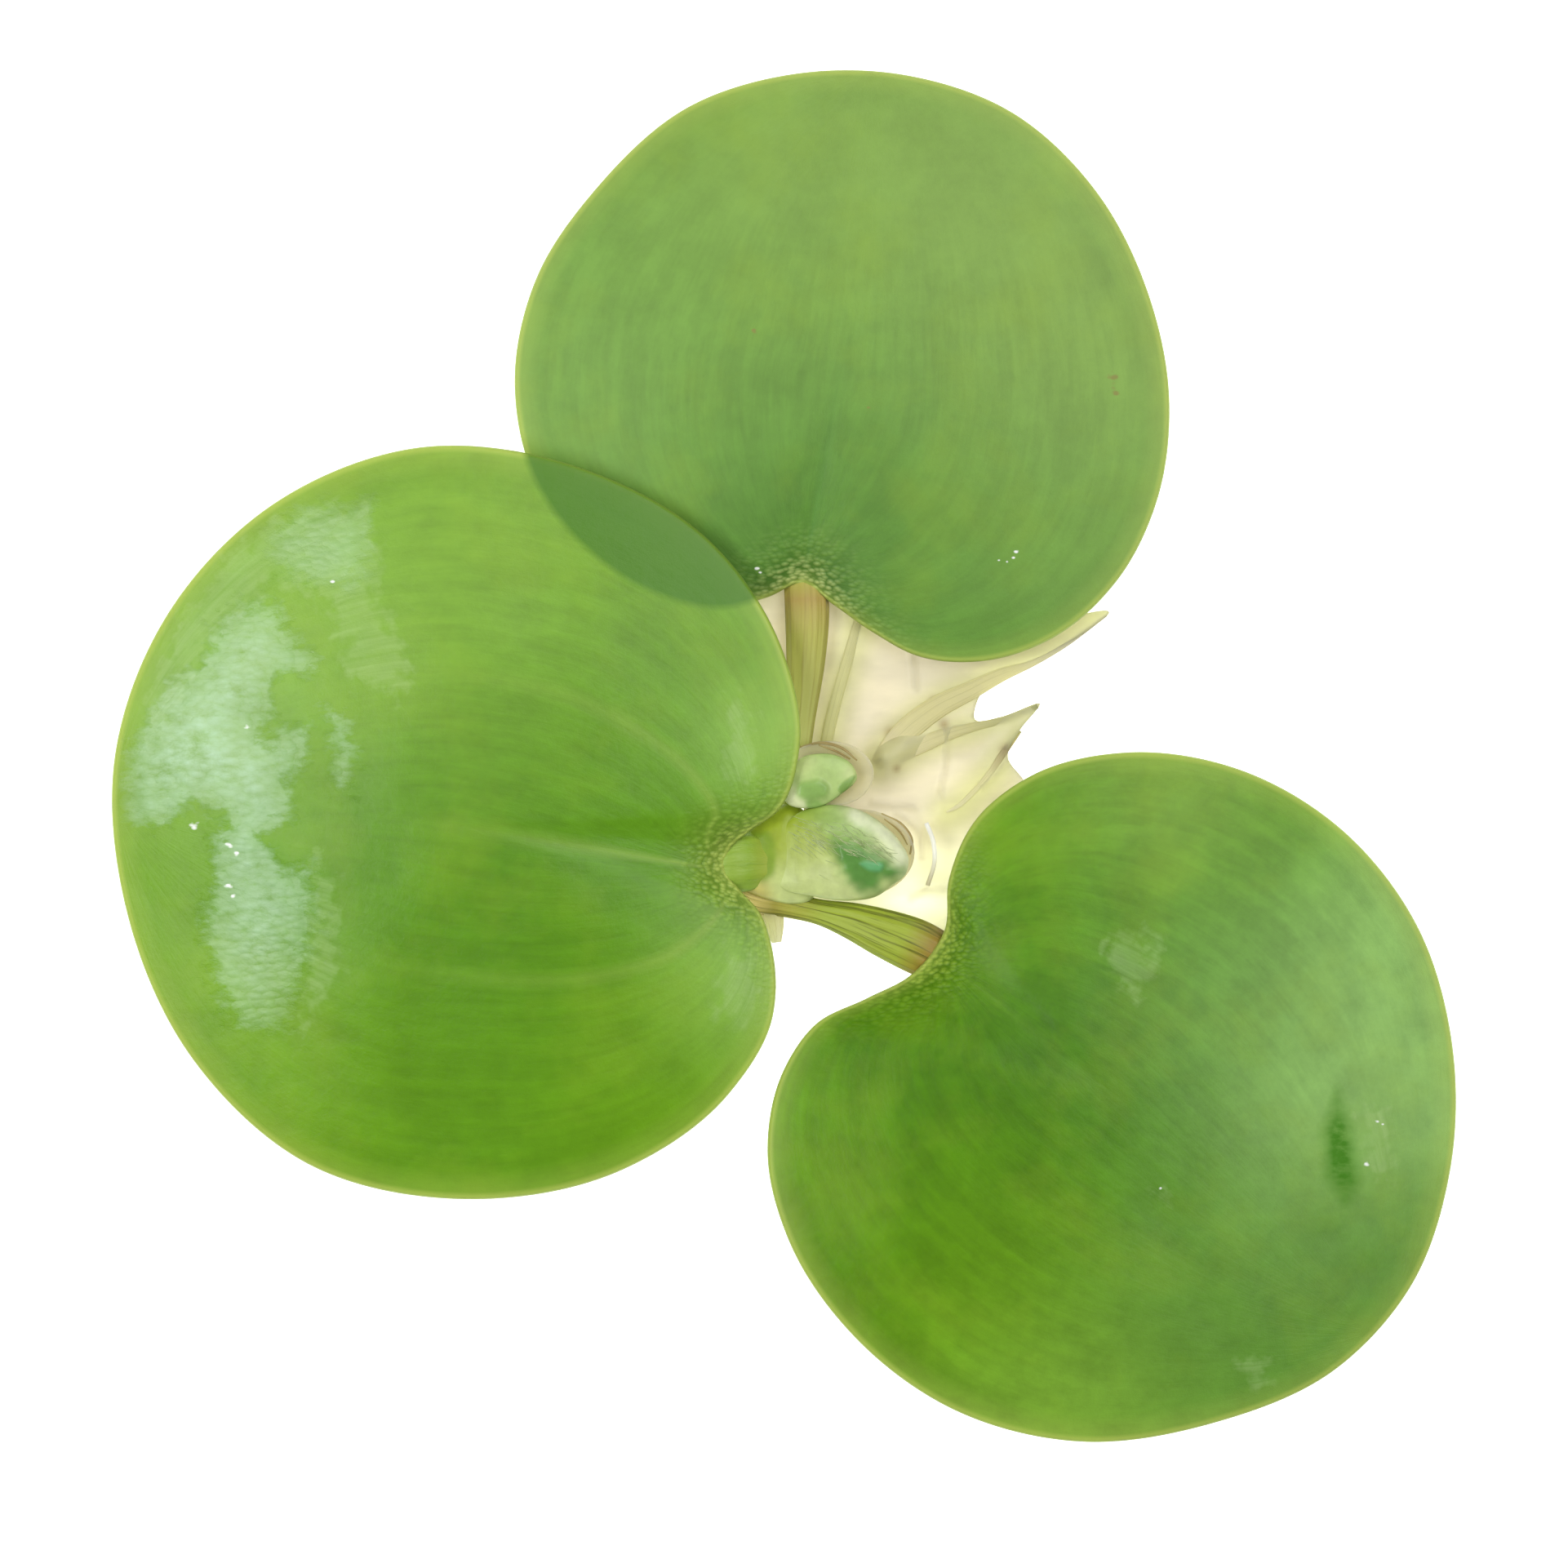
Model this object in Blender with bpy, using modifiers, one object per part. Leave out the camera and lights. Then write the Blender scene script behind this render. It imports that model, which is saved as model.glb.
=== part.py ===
"""Frogbit, a small floating water plant, as a rosette of three round leaves lying on a flat surface.

The crown's foot is the origin, +Z is up, and +Y points from the crown towards the upper leaf.
Lengths are written in millimetres and turned to metres where a mesh is made.
"""

import math

import bmesh
import bpy
import numpy as np

MM = 0.001

# Sizes that the whole plant follows, in millimetres.
RIM_THICKNESS = 0.45
RIM_HEIGHT = 1.3
RING_COUNT = 12
SAMPLES_PER_POINT = 2
FILM_THICKNESS = 0.12
ROOT_SIDES = 2
LEFT_UPHILL = (0.042, 0.053)
RIGHT_UPHILL = (-0.048, -0.036)

# Each outline is read round the margin from the notch, anticlockwise seen from above.
LEFT_OUTLINE = [
    (-1.8, -0.2), (-1.65, 0.6), (-1.0, 1.2), (0.1, 2.0), (0.9, 4.4), (0.3, 7.8), (-2.3, 11.8),
    (-7.2, 14.6), (-13.0, 15.35), (-18.4, 13.3), (-22.3, 9.3), (-24.3, 4.0), (-23.9, -1.6),
    (-21.4, -7.2), (-17.2, -11.0), (-11.2, -12.3), (-5.6, -11.2), (-1.7, -8.4), (-0.1, -5.6),
    (-0.05, -3.4), (-0.6, -1.7), (-1.3, -0.9),
]
TOP_OUTLINE = [
    (1.0, 10.35), (2.1, 9.6), (3.6, 8.55), (5.2, 7.7), (7.6, 7.5), (10.2, 8.35), (12.6, 10.5),
    (14.1, 13.6), (14.5, 17.0), (13.7, 21.1), (11.8, 24.8), (8.7, 27.7), (4.9, 29.05),
    (0.6, 29.1), (-3.2, 27.9), (-6.6, 24.9), (-8.8, 21.6), (-9.6, 17.7), (-8.9, 14.3),
    (-6.8, 11.5), (-4.2, 9.9), (-1.9, 9.45), (-0.3, 9.85),
]
RIGHT_OUTLINE = [
    (5.75, -3.2), (5.0, -4.0), (3.4, -4.85), (1.5, -5.8), (0.3, -7.5), (-0.3, -10.5),
    (0.5, -13.8), (2.9, -17.3), (6.5, -19.95), (11.2, -21.15), (16.0, -20.5), (20.6, -18.5),
    (23.4, -15.4), (24.8, -11.3), (24.9, -6.6), (23.6, -2.2), (20.8, 1.35), (17.0, 3.55),
    (12.8, 4.15), (9.4, 3.3), (7.3, 1.6), (6.35, -0.6), (6.2, -2.4),
]
# The papery film: out along leaf_top's lobe to the long tip, back to the short tip, then down
# leaf_right's lobe.
FILM_OUTLINE = [
    (0.0, 6.2), (-0.3, 8.0), (-0.7, 9.9), (1.0, 10.5), (3.2, 9.2), (5.5, 9.0), (9.0, 8.8), (12.3, 9.3),
    (10.4, 7.95), (8.6, 7.05), (7.5, 6.2), (7.35, 5.35), (8.3, 5.45), (9.75, 5.95), (8.95, 4.9),
    (8.55, 4.0), (9.2, 3.0), (7.6, 1.2), (6.6, -1.4), (6.2, -2.9), (4.6, -2.4), (3.0, -1.8),
    (1.5, -1.5), (1.3, -0.3), (1.2, 1.2), (0.8, 3.2),
]


def clear_scene():
    for found in list(bpy.data.objects):
        bpy.data.objects.remove(found, do_unlink=True)


def plant_collection():
    collection = bpy.data.collections.new("frogbit")
    bpy.context.scene.collection.children.link(collection)
    return collection


def tissue(name, colour, roughness):
    """A plain plant tissue: an sRGB colour, turned to linear, and how rough it is."""
    material = bpy.data.materials.new(name)
    material.use_nodes = True
    linear = [(value / 255) ** 2.2 for value in colour]
    shader = material.node_tree.nodes["Principled BSDF"]
    shader.inputs["Base Color"].default_value = (*linear, 1.0)
    shader.inputs["Roughness"].default_value = roughness
    shader.inputs["Metallic"].default_value = 0.0
    return material


def add_object(name, data, material, collection):
    data.materials.append(material)
    made = bpy.data.objects.new(name, data)
    collection.objects.link(made)
    return made


def smooth_curve(points, samples, closed):
    """Points along a smooth curve through the given ones, with as many samples between each pair."""
    points = np.array(points, float)
    before, after = np.roll(points, 1, axis=0), np.roll(points, -1, axis=0)
    if not closed:
        before[0] = 2 * points[0] - points[1]
        after[-1] = 2 * points[-1] - points[-2]
    step_in = np.linalg.norm(points - before, axis=1)[:, None]
    step_out = np.linalg.norm(after - points, axis=1)[:, None]
    slope = (points - before) / step_in * step_out + (after - points) / step_out * step_in
    slope /= step_in + step_out
    made = []
    for i in range(len(points) if closed else len(points) - 1):
        j = (i + 1) % len(points)
        for s in np.arange(samples) / samples:
            made.append(
                (2 * s**3 - 3 * s**2 + 1) * points[i]
                + (s**3 - 2 * s**2 + s) * step_out[i] * slope[i]
                + (3 * s**2 - 2 * s**3) * points[j]
                + (s**3 - s**2) * step_out[i] * slope[j]
            )
    if not closed:
        made.append(points[-1])
    return np.array(made)


def sphere_mesh(segments, rings):
    """A unit UV sphere as a bmesh, ready to be shaped."""
    shaped = bmesh.new()
    bmesh.ops.create_uvsphere(shaped, u_segments=segments, v_segments=rings, radius=1.0)
    return shaped


def finish_mesh(shaped, name):
    mesh = bpy.data.meshes.new(name)
    shaped.to_mesh(mesh)
    shaped.free()
    mesh.shade_smooth()
    return mesh


def blade(
    name, outline, centre, dome, middle_thickness, material, collection, uphill=(0.0, 0.0), low_side=0.0
):
    """A round floating leaf: a domed upper face over a spongy cushion that the surface presses flat.

    A unit sphere is spread over the outline: its equator is the margin, its upper half the upper face,
    and its lower half the underside. uphill is the leaf's slope, and low_side the side where it starts.
    """
    margin = smooth_curve(outline, SAMPLES_PER_POINT, closed=True)
    middle = np.array(centre)
    shaped = sphere_mesh(len(margin), RING_COUNT)
    for vert in shaped.verts:
        spoke = round(math.atan2(vert.co.y, vert.co.x) / math.tau * len(margin)) % len(margin)
        share = min(1.0, math.hypot(vert.co.x, vert.co.y))
        place = middle + (margin[spoke] - middle) * share
        inward = max(0.0, 1.0 - share**2)
        upper = RIM_HEIGHT + max(0.0, place @ np.array(uphill) - low_side) + dome * inward
        depth = RIM_THICKNESS + (middle_thickness - RIM_THICKNESS) * inward**1.2
        if abs(vert.co.z) < 1e-4:
            height = upper - depth / 2
        elif vert.co.z > 0:
            height = upper
        else:
            height = max(0.0, upper - depth)
        vert.co = (place[0] * MM, place[1] * MM, height * MM)
    return add_object(name, finish_mesh(shaped, name), material, collection)


def stalk(name, route, material, collection, flatten=1.0, samples=3, sides=2):
    """A petiole or root along a route of (x, y, z, radius), oval where flatten is below 1."""
    curve = bpy.data.curves.new(name, "CURVE")
    curve.dimensions = "3D"
    curve.bevel_depth = 1.0
    curve.bevel_resolution = sides
    curve.use_fill_caps = True
    path = smooth_curve(route, samples, closed=False)
    spline = curve.splines.new("POLY")
    spline.points.add(len(path) - 1)
    for point, (x, y, z, radius) in zip(spline.points, path):
        point.co = (x * MM, y * MM, z * MM / flatten, 1.0)
        point.radius = radius * MM
    made = add_object(name, curve, material, collection)
    made.scale = (1.0, 1.0, flatten)
    return made


def crown(material, collection):
    """The short squat stem that every stalk and root grows from, turned about Z, with a flat foot."""
    profile = [(0.0, 1.75), (0.35, 1.7), (0.62, 1.45), (0.72, 1.0), (0.68, 0.5), (0.85, 0.0), (0.0, 0.0)]
    mesh = bpy.data.meshes.new("crown")
    corners = [(x * MM, 0.0, z * MM) for x, z in profile]
    mesh.from_pydata(corners, [(i, i + 1) for i in range(len(corners) - 1)], [])
    made = add_object("crown", mesh, material, collection)
    turned = made.modifiers.new("turned", "SCREW")
    turned.steps = turned.render_steps = 20
    turned.use_merge_vertices = True
    turned.merge_threshold = 0.00001
    return made


def young_leaf(material, collection):
    """The newest leaf, still rolled: a fat spindle from the crown, flat below, with a bent tip."""
    start, length, floor = 0.75, 4.1, 1.72
    shaped = sphere_mesh(16, 12)
    for vert in shaped.verts:
        along = (vert.co.z + 1) / 2
        belly = 1.5 * (0.62 + 0.38 * math.sin(math.pi * along**0.8))
        x = start + length * along
        y = 0.42 + vert.co.x * belly - 0.55 * along**4
        z = 2.0 + vert.co.y * belly * 0.5
        vert.co = (x * MM, y * MM, max(z, floor) * MM)
    bmesh.ops.recalc_face_normals(shaped, faces=shaped.faces)
    return add_object("young_leaf", finish_mesh(shaped, "young_leaf"), material, collection)


def leaf_bud(material, collection):
    """The next leaf, a flat oval bud beside the young leaf."""
    shaped = sphere_mesh(16, 8)
    for vert in shaped.verts:
        x = 1.85 + vert.co.x * 1.2
        y = 3.2 + vert.co.y * 0.85
        z = 1.75 + vert.co.z * 0.35
        vert.co = (x * MM, y * MM, z * MM)
    return add_object("leaf_bud", finish_mesh(shaped, "leaf_bud"), material, collection)


def scale_leaf(name, centre, reach, floor, rim, material, collection):
    """A clear papery scale, spoon-shaped, open above: the lower part of an oval bowl given a thin wall."""
    shaped = sphere_mesh(20, 12)
    upper = [vert for vert in shaped.verts if vert.co.z > 0.01]
    bmesh.ops.delete(shaped, geom=upper, context="VERTS")
    for vert in shaped.verts:
        x = centre[0] + vert.co.x * reach[0]
        y = centre[1] + vert.co.y * reach[1]
        z = rim + (rim - floor) * vert.co.z
        vert.co = (x * MM, y * MM, z * MM)
    made = add_object(name, finish_mesh(shaped, name), material, collection)
    wall = made.modifiers.new("wall", "SOLIDIFY")
    wall.thickness = FILM_THICKNESS * MM
    wall.offset = 0.0
    return made


def outer_scale(material, collection):
    """The outermost clear scale, a crescent standing round the young leaf's tip."""
    arc = smooth_curve([(5.55, 1.55), (5.8, 0.9), (5.85, 0.1), (5.6, -0.75)], 4, closed=False)
    low, high = 0.45, 1.15
    mesh = bpy.data.meshes.new("stipule_outer")
    corners = [(x * MM, y * MM, z * MM) for z in (low, high) for x, y in arc]
    count = len(arc)
    faces = [(i, i + 1, count + i + 1, count + i) for i in range(count - 1)]
    mesh.from_pydata(corners, [], faces)
    made = add_object("stipule_outer", mesh, material, collection)
    wall = made.modifiers.new("wall", "SOLIDIFY")
    wall.thickness = FILM_THICKNESS * MM
    wall.offset = 0.0
    return made


def papery_film(material, collection):
    """The thin wet film between the roots, flat on the surface, with two drawn-out tips."""
    curve = bpy.data.curves.new("root_film", "CURVE")
    curve.dimensions = "2D"
    curve.fill_mode = "BOTH"
    curve.extrude = FILM_THICKNESS / 2 * MM
    spline = curve.splines.new("POLY")
    margin = smooth_curve(FILM_OUTLINE, 3, closed=True)
    spline.points.add(len(margin) - 1)
    for point, (x, y) in zip(spline.points, margin):
        point.co = (x * MM, y * MM, 0.0, 1.0)
    spline.use_cyclic_u = True
    made = add_object("root_film", curve, material, collection)
    made.location.z = FILM_THICKNESS / 2 * MM
    return made


def build():
    clear_scene()
    plants = plant_collection()
    blade(
        "leaf_left", LEFT_OUTLINE, (-11.8, 1.5), 1.8, 4.0,
        tissue("leaf_left", (104, 154, 40), 0.3), plants, LEFT_UPHILL, -1.03,
    )
    blade(
        "leaf_top", TOP_OUTLINE, (2.4, 18.2), 1.4, 3.0,
        tissue("leaf_top", (122, 164, 78), 0.45), plants,
    )
    blade(
        "leaf_right", RIGHT_OUTLINE, (12.4, -8.4), 1.7, 4.0,
        tissue("leaf_right", (96, 146, 48), 0.35), plants, RIGHT_UPHILL, -1.06,
    )
    stalk_tissue = tissue("petiole", (166, 176, 80), 0.45)
    stalk(
        "petiole_left",
        [(-1.05, 0.1, 0.95, 0.72), (-1.7, 0.05, 0.98, 0.8), (-2.8, -0.1, 0.9, 0.6)],
        stalk_tissue, plants, flatten=0.7,
    )
    stalk(
        "petiole_top",
        [(0.4, 1.25, 0.65, 0.36), (0.7, 3.0, 0.65, 0.38), (0.95, 5.4, 0.7, 0.5), (1.15, 7.5, 0.7, 0.7),
         (1.15, 9.45, 0.68, 0.78)],
        stalk_tissue, plants, flatten=0.6,
    )
    stalk(
        "petiole_right",
        [(-0.75, -1.35, 0.75, 0.4), (0.4, -1.5, 0.78, 0.4), (1.6, -1.72, 0.9, 0.42), (2.8, -2.05, 1.15, 0.65),
         (4.0, -2.5, 1.4, 0.85), (5.1, -2.95, 1.55, 0.9)],
        stalk_tissue, plants, flatten=0.62,
    )
    pale = tissue("young_tissue", (178, 200, 112), 0.35)
    crown(pale, plants)
    young_leaf(pale, plants)
    leaf_bud(pale, plants)
    papery = tissue("papery_tissue", (233, 225, 186), 0.3)
    scale_leaf("stipule_bud", (1.95, 3.35), (1.65, 1.2), 1.0, 1.55, papery, plants)
    scale_leaf("stipule_inner", (2.95, 0.45), (2.15, 1.6), 0.72, 1.36, papery, plants)
    outer_scale(papery, plants)
    papery_film(papery, plants)
    root_tissue = tissue("root", (214, 214, 148), 0.4)
    stalk(
        "root_upper",
        [(1.5, 1.9, 0.55, 0.18), (1.7, 3.2, 0.6, 0.18), (1.9, 4.7, 0.6, 0.22), (2.2, 6.0, 0.6, 0.24),
         (2.65, 7.6, 0.55, 0.22), (3.1, 9.2, 0.4, 0.15), (3.7, 11.0, 0.2, 0.06)],
        root_tissue, plants, sides=ROOT_SIDES,
    )
    stalk(
        "root_long",
        [(3.9, 3.9, 0.7, 0.35), (4.7, 4.9, 0.7, 0.5), (5.9, 5.8, 0.7, 0.52), (7.2, 6.45, 0.68, 0.42),
         (8.3, 7.0, 0.62, 0.26), (9.5, 7.45, 0.55, 0.14), (10.6, 8.05, 0.5, 0.1), (12.2, 9.2, 0.45, 0.06)],
        root_tissue, plants, flatten=0.5, sides=ROOT_SIDES,
    )
    stalk(
        "root_short",
        [(5.95, 4.6, 0.6, 0.16), (6.7, 4.9, 0.6, 0.16), (7.6, 5.15, 0.6, 0.15), (8.7, 5.4, 0.58, 0.12),
         (9.65, 5.85, 0.55, 0.1)],
        root_tissue, plants, sides=ROOT_SIDES,
    )
    stalk(
        "root_low",
        [(5.8, 2.05, 0.66, 0.16), (6.5, 2.0, 0.64, 0.15), (7.1, 2.5, 0.6, 0.14), (7.9, 3.4, 0.6, 0.13),
         (8.4, 4.15, 0.6, 0.14), (9.0, 4.95, 0.58, 0.1)],
        root_tissue, plants, sides=ROOT_SIDES,
    )
    stalk(
        "stolon_stub",
        [(-0.05, -2.05, 0.45, 0.3), (0.0, -2.45, 0.42, 0.28), (0.05, -2.85, 0.4, 0.18)],
        root_tissue, plants, sides=ROOT_SIDES,
    )


build()
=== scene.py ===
import bpy
import numpy as np
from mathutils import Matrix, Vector


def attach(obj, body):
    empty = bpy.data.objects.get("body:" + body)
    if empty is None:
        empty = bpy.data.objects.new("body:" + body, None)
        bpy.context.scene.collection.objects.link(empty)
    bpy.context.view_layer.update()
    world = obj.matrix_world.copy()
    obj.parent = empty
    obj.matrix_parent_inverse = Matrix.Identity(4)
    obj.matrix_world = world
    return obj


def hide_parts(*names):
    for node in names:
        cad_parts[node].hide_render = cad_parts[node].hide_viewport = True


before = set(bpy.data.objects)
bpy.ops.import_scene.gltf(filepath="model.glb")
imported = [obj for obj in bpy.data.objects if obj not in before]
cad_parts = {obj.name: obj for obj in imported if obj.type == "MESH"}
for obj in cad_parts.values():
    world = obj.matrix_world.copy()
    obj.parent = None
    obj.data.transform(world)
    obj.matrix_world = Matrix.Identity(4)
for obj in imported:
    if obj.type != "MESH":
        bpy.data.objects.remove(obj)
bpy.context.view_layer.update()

# The left leaf
# The largest floating leaf: a waxy round blade, domed above, with a cushion of air cells below.
# It grows on its own stalk, leans over the upper leaf's edge, and is wet on its left side.

# Sizes are in mm. The air cells' waves turn 7.6 radians in each mm, which puts the cells 0.83 mm apart.
MM = 0.001
RIM_HEIGHT = 1.3
RIM_THICKNESS = 0.45
RIM_TUCK = 0.12
NOTCH_SINK = 0.25
AIR_CELL_TURN = 7.6
AIR_CELL_DEPTH = 0.05
AIR_CELL_COLOUR = "#c3cf92"
NO_MARK = 9.0
LEFT_MARGIN = [
    (-1.8, -0.2), (-1.65, 0.6), (-1.0, 1.2), (0.1, 2.0), (0.9, 4.4), (0.3, 7.8), (-2.3, 11.8), (-7.2, 14.6),
    (-13.0, 15.35), (-18.4, 13.3), (-22.3, 9.3), (-24.3, 4.0), (-23.9, -1.6), (-21.4, -7.2), (-17.2, -11.0),
    (-11.2, -12.3), (-5.6, -11.2), (-1.7, -8.4), (-0.1, -5.6), (-0.05, -3.4), (-0.6, -1.7), (-1.3, -0.9),
]
TOP_MARGIN = [
    (1.0, 10.35), (2.1, 9.6), (3.6, 8.55), (5.2, 7.7), (7.6, 7.5), (10.2, 8.35), (12.6, 10.5), (14.1, 13.6),
    (14.5, 17.0), (13.7, 21.1), (11.8, 24.8), (8.7, 27.7), (4.9, 29.05), (0.6, 29.1), (-3.2, 27.9),
    (-6.6, 24.9), (-8.8, 21.6), (-9.6, 17.7), (-8.9, 14.3), (-6.8, 11.5), (-4.2, 9.9), (-1.9, 9.45),
    (-0.3, 9.85),
]
# Greens for the leaves' colour patches. lit, sheen and the right lobes' light green are painted sheen, and
# shaded is painted shade.
LEAF_GREENS = {
    "deep": "#4f8409", "mid": "#5c8f16", "pale": "#7aa535", "yellow": "#6b9a10",
    "cool": "#5f8e33", "dull": "#719c3e", "shaded": "#4a7a22", "lit": "#7fa346",
    "collar": "#93b040", "gold": "#4a7d02", "lobe_sheen": "#93bd52", "sheen": "#86b15c",
}
LEFT_WET = [
    [(-23.6, 1.6), (-23.6, 4.1), (-22.9, 5.6), (-21.5, 7.0), (-20.6, 8.6), (-19.4, 9.6), (-18.0, 9.9),
     (-17.6, 8.3), (-16.7, 7.6), (-16.9, 6.7), (-18.2, 6.8), (-19.1, 5.0), (-18.4, 4.5), (-17.0, 5.3),
     (-17.1, 4.2), (-17.9, 3.2), (-17.6, 1.9), (-18.5, 1.0), (-17.9, 0.1), (-16.9, 0.1), (-16.8, -2.4),
     (-17.5, -4.4), (-18.2, -6.0), (-19.6, -6.1), (-20.9, -4.4), (-20.9, -2.7), (-20.6, -0.4), (-20.6, 0.9),
     (-20.1, 1.9), (-21.3, 2.4), (-22.3, 1.6)],
    [(-18.3, 12.3), (-17.4, 13.0), (-14.9, 13.0), (-14.7, 10.9), (-15.6, 10.1), (-17.3, 10.3),
     (-18.6, 11.1)],
    [(-16.7, 6.0), (-15.7, 5.5), (-15.4, 4.2), (-15.9, 2.9), (-16.1, 4.0), (-16.4, 5.2)],
]
# Pale patches on the left leaf, painted sheen: round the wet film and on the two right lobes.
LEFT_PAINTED_SHEEN = [
    [(-23.3, 4.0), (-23.1, 6.3), (-21.8, 8.9), (-20.5, 10.9), (-18.9, 12.4), (-17.4, 13.1), (-14.9, 13.2),
     (-14.5, 11.6), (-14.7, 10.1), (-13.6, 8.3), (-13.2, 6.1), (-15.4, 6.6), (-16.5, 9.6), (-18.5, 10.5),
     (-21.0, 7.5), (-22.5, 5.0)],
    [(-16.9, 0.5), (-16.0, -1.0), (-16.1, -4.0), (-17.3, -6.2), (-17.2, -3.0)],
    [(-1.9, 6.6), (-0.9, 5.6), (-0.7, 3.2), (-1.6, 3.0)],
    [(-1.8, -3.0), (-0.7, -3.6), (-0.9, -6.2), (-2.2, -5.6)],
]


def linear(code):
    """The linear colour of an sRGB hex code, with alpha 1."""
    parts = [int(code[i : i + 2], 16) / 255 for i in (1, 3, 5)]
    return tuple(p / 12.92 if p <= 0.04045 else ((p + 0.055) / 1.055) ** 2.4 for p in parts) + (1.0,)


def smooth_line(points, samples, closed=True):
    """A cubic through the points: its slope at each is the mean of two chords, the nearer counting more."""
    points = np.array(points, float)
    before, after = np.roll(points, 1, axis=0), np.roll(points, -1, axis=0)
    if not closed:
        before[0] = 2 * points[0] - points[1]
        after[-1] = 2 * points[-1] - points[-2]
    step_in = np.linalg.norm(points - before, axis=1)[:, None]
    step_out = np.linalg.norm(after - points, axis=1)[:, None]
    slope = (points - before) / step_in * step_out + (after - points) / step_out * step_in
    slope /= step_in + step_out
    s = (np.arange(samples) / samples)[None, :, None]
    start, reach, turn = points[:, None], step_out[:, None], slope[:, None]
    end, turn_end = np.roll(points, -1, axis=0)[:, None], np.roll(slope, -1, axis=0)[:, None]
    line = (2 * s**3 - 3 * s**2 + 1) * start + (s**3 - 2 * s**2 + s) * reach * turn
    line = line + (3 * s**2 - 2 * s**3) * end + (s**3 - s**2) * reach * turn_end
    if closed:
        return line.reshape(-1, points.shape[1])
    return np.vstack([line[:-1].reshape(-1, points.shape[1]), points[-1:]])


def edge_distance(x, y, outline):
    """Distance in mm from each point to a closed outline, less than zero inside it."""
    a = np.array(outline, float)
    b = np.roll(a, -1, axis=0)
    flat = np.stack([np.ravel(x), np.ravel(y)], axis=-1)
    nearest = np.full(len(flat), 1e9)
    crossings = np.zeros(len(flat), int)
    for (ax, ay), (bx, by) in zip(a, b):
        run = np.array([bx - ax, by - ay])
        away = flat - (ax, ay)
        share = np.clip(away @ run / (run @ run), 0, 1)
        nearest = np.minimum(nearest, np.linalg.norm(away - share[:, None] * run, axis=1))
        spans = (ay > flat[:, 1]) != (by > flat[:, 1])
        crossings += spans & (away[:, 0] < away[:, 1] * (bx - ax) / (by - ay + 1e-12))
    return np.where(crossings % 2 == 1, -nearest, nearest).reshape(np.shape(x))


def skin(name, rings, start, end, material, nodes):
    """A closed mesh over rings of points, in mm: four-sided faces from each ring to the next, and a fan of
    triangles to one point at each end. The faces are turned over if their volume comes out below zero."""
    count, around = rings.shape[:2]
    points = np.vstack([rings.reshape(-1, 3), [start], [end]]) * MM
    ring = np.arange(count * around).reshape(count, around)
    after = np.roll(ring, -1, axis=1)
    quads = np.stack([ring[:-1], ring[1:], after[1:], after[:-1]], axis=-1).reshape(-1, 4)
    pole = np.full(around, count * around)
    fans = np.vstack([np.stack([pole, ring[0], after[0]], -1), np.stack([pole + 1, after[-1], ring[-1]], -1)])
    corners = np.vstack([fans, quads[:, :3], quads[:, [0, 2, 3]]])
    volume = np.sum(points[corners[:, 0]] * np.cross(points[corners[:, 1]], points[corners[:, 2]]))
    if volume < 0:
        quads, fans = quads[:, ::-1], fans[:, ::-1]
    mesh = bpy.data.meshes.new(name)
    mesh.from_pydata(points.tolist(), [], quads.tolist() + fans.tolist())
    mesh.shade_smooth()
    return place(name, mesh, material, nodes)


def place(name, mesh, material, nodes):
    """Makes the mesh a piece of the plant, in the place of its solids."""
    mesh.materials.append(material)
    piece = bpy.data.objects.new(name, mesh)
    bpy.context.scene.collection.objects.link(piece)
    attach(piece, "root")
    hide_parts(*nodes)
    return piece


def store(piece, name, values, start, end):
    """Keeps one vector for each point of a skin: the rings' values, then those of its two end points."""
    kept = piece.data.attributes.new(name, "FLOAT_VECTOR", "POINT")
    every = np.vstack([values.reshape(-1, 3), [start], [end]])
    kept.data.foreach_set("vector", every.astype(np.float32).ravel())


def patches(x, y, spots, greens):
    """Colour at each point: the mean of the named greens, each weighted by a bell curve round its spot."""
    total = np.zeros(np.shape(x) + (3,))
    weights = np.zeros(np.shape(x))
    for spot_x, spot_y, radius, green in spots:
        weight = np.exp(-((x - spot_x) ** 2 + (y - spot_y) ** 2) / (2 * radius**2)) + 1e-9
        total += weight[..., None] * np.array(linear(greens[green])[:3])
        weights += weight
    return total / weights[..., None]


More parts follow.
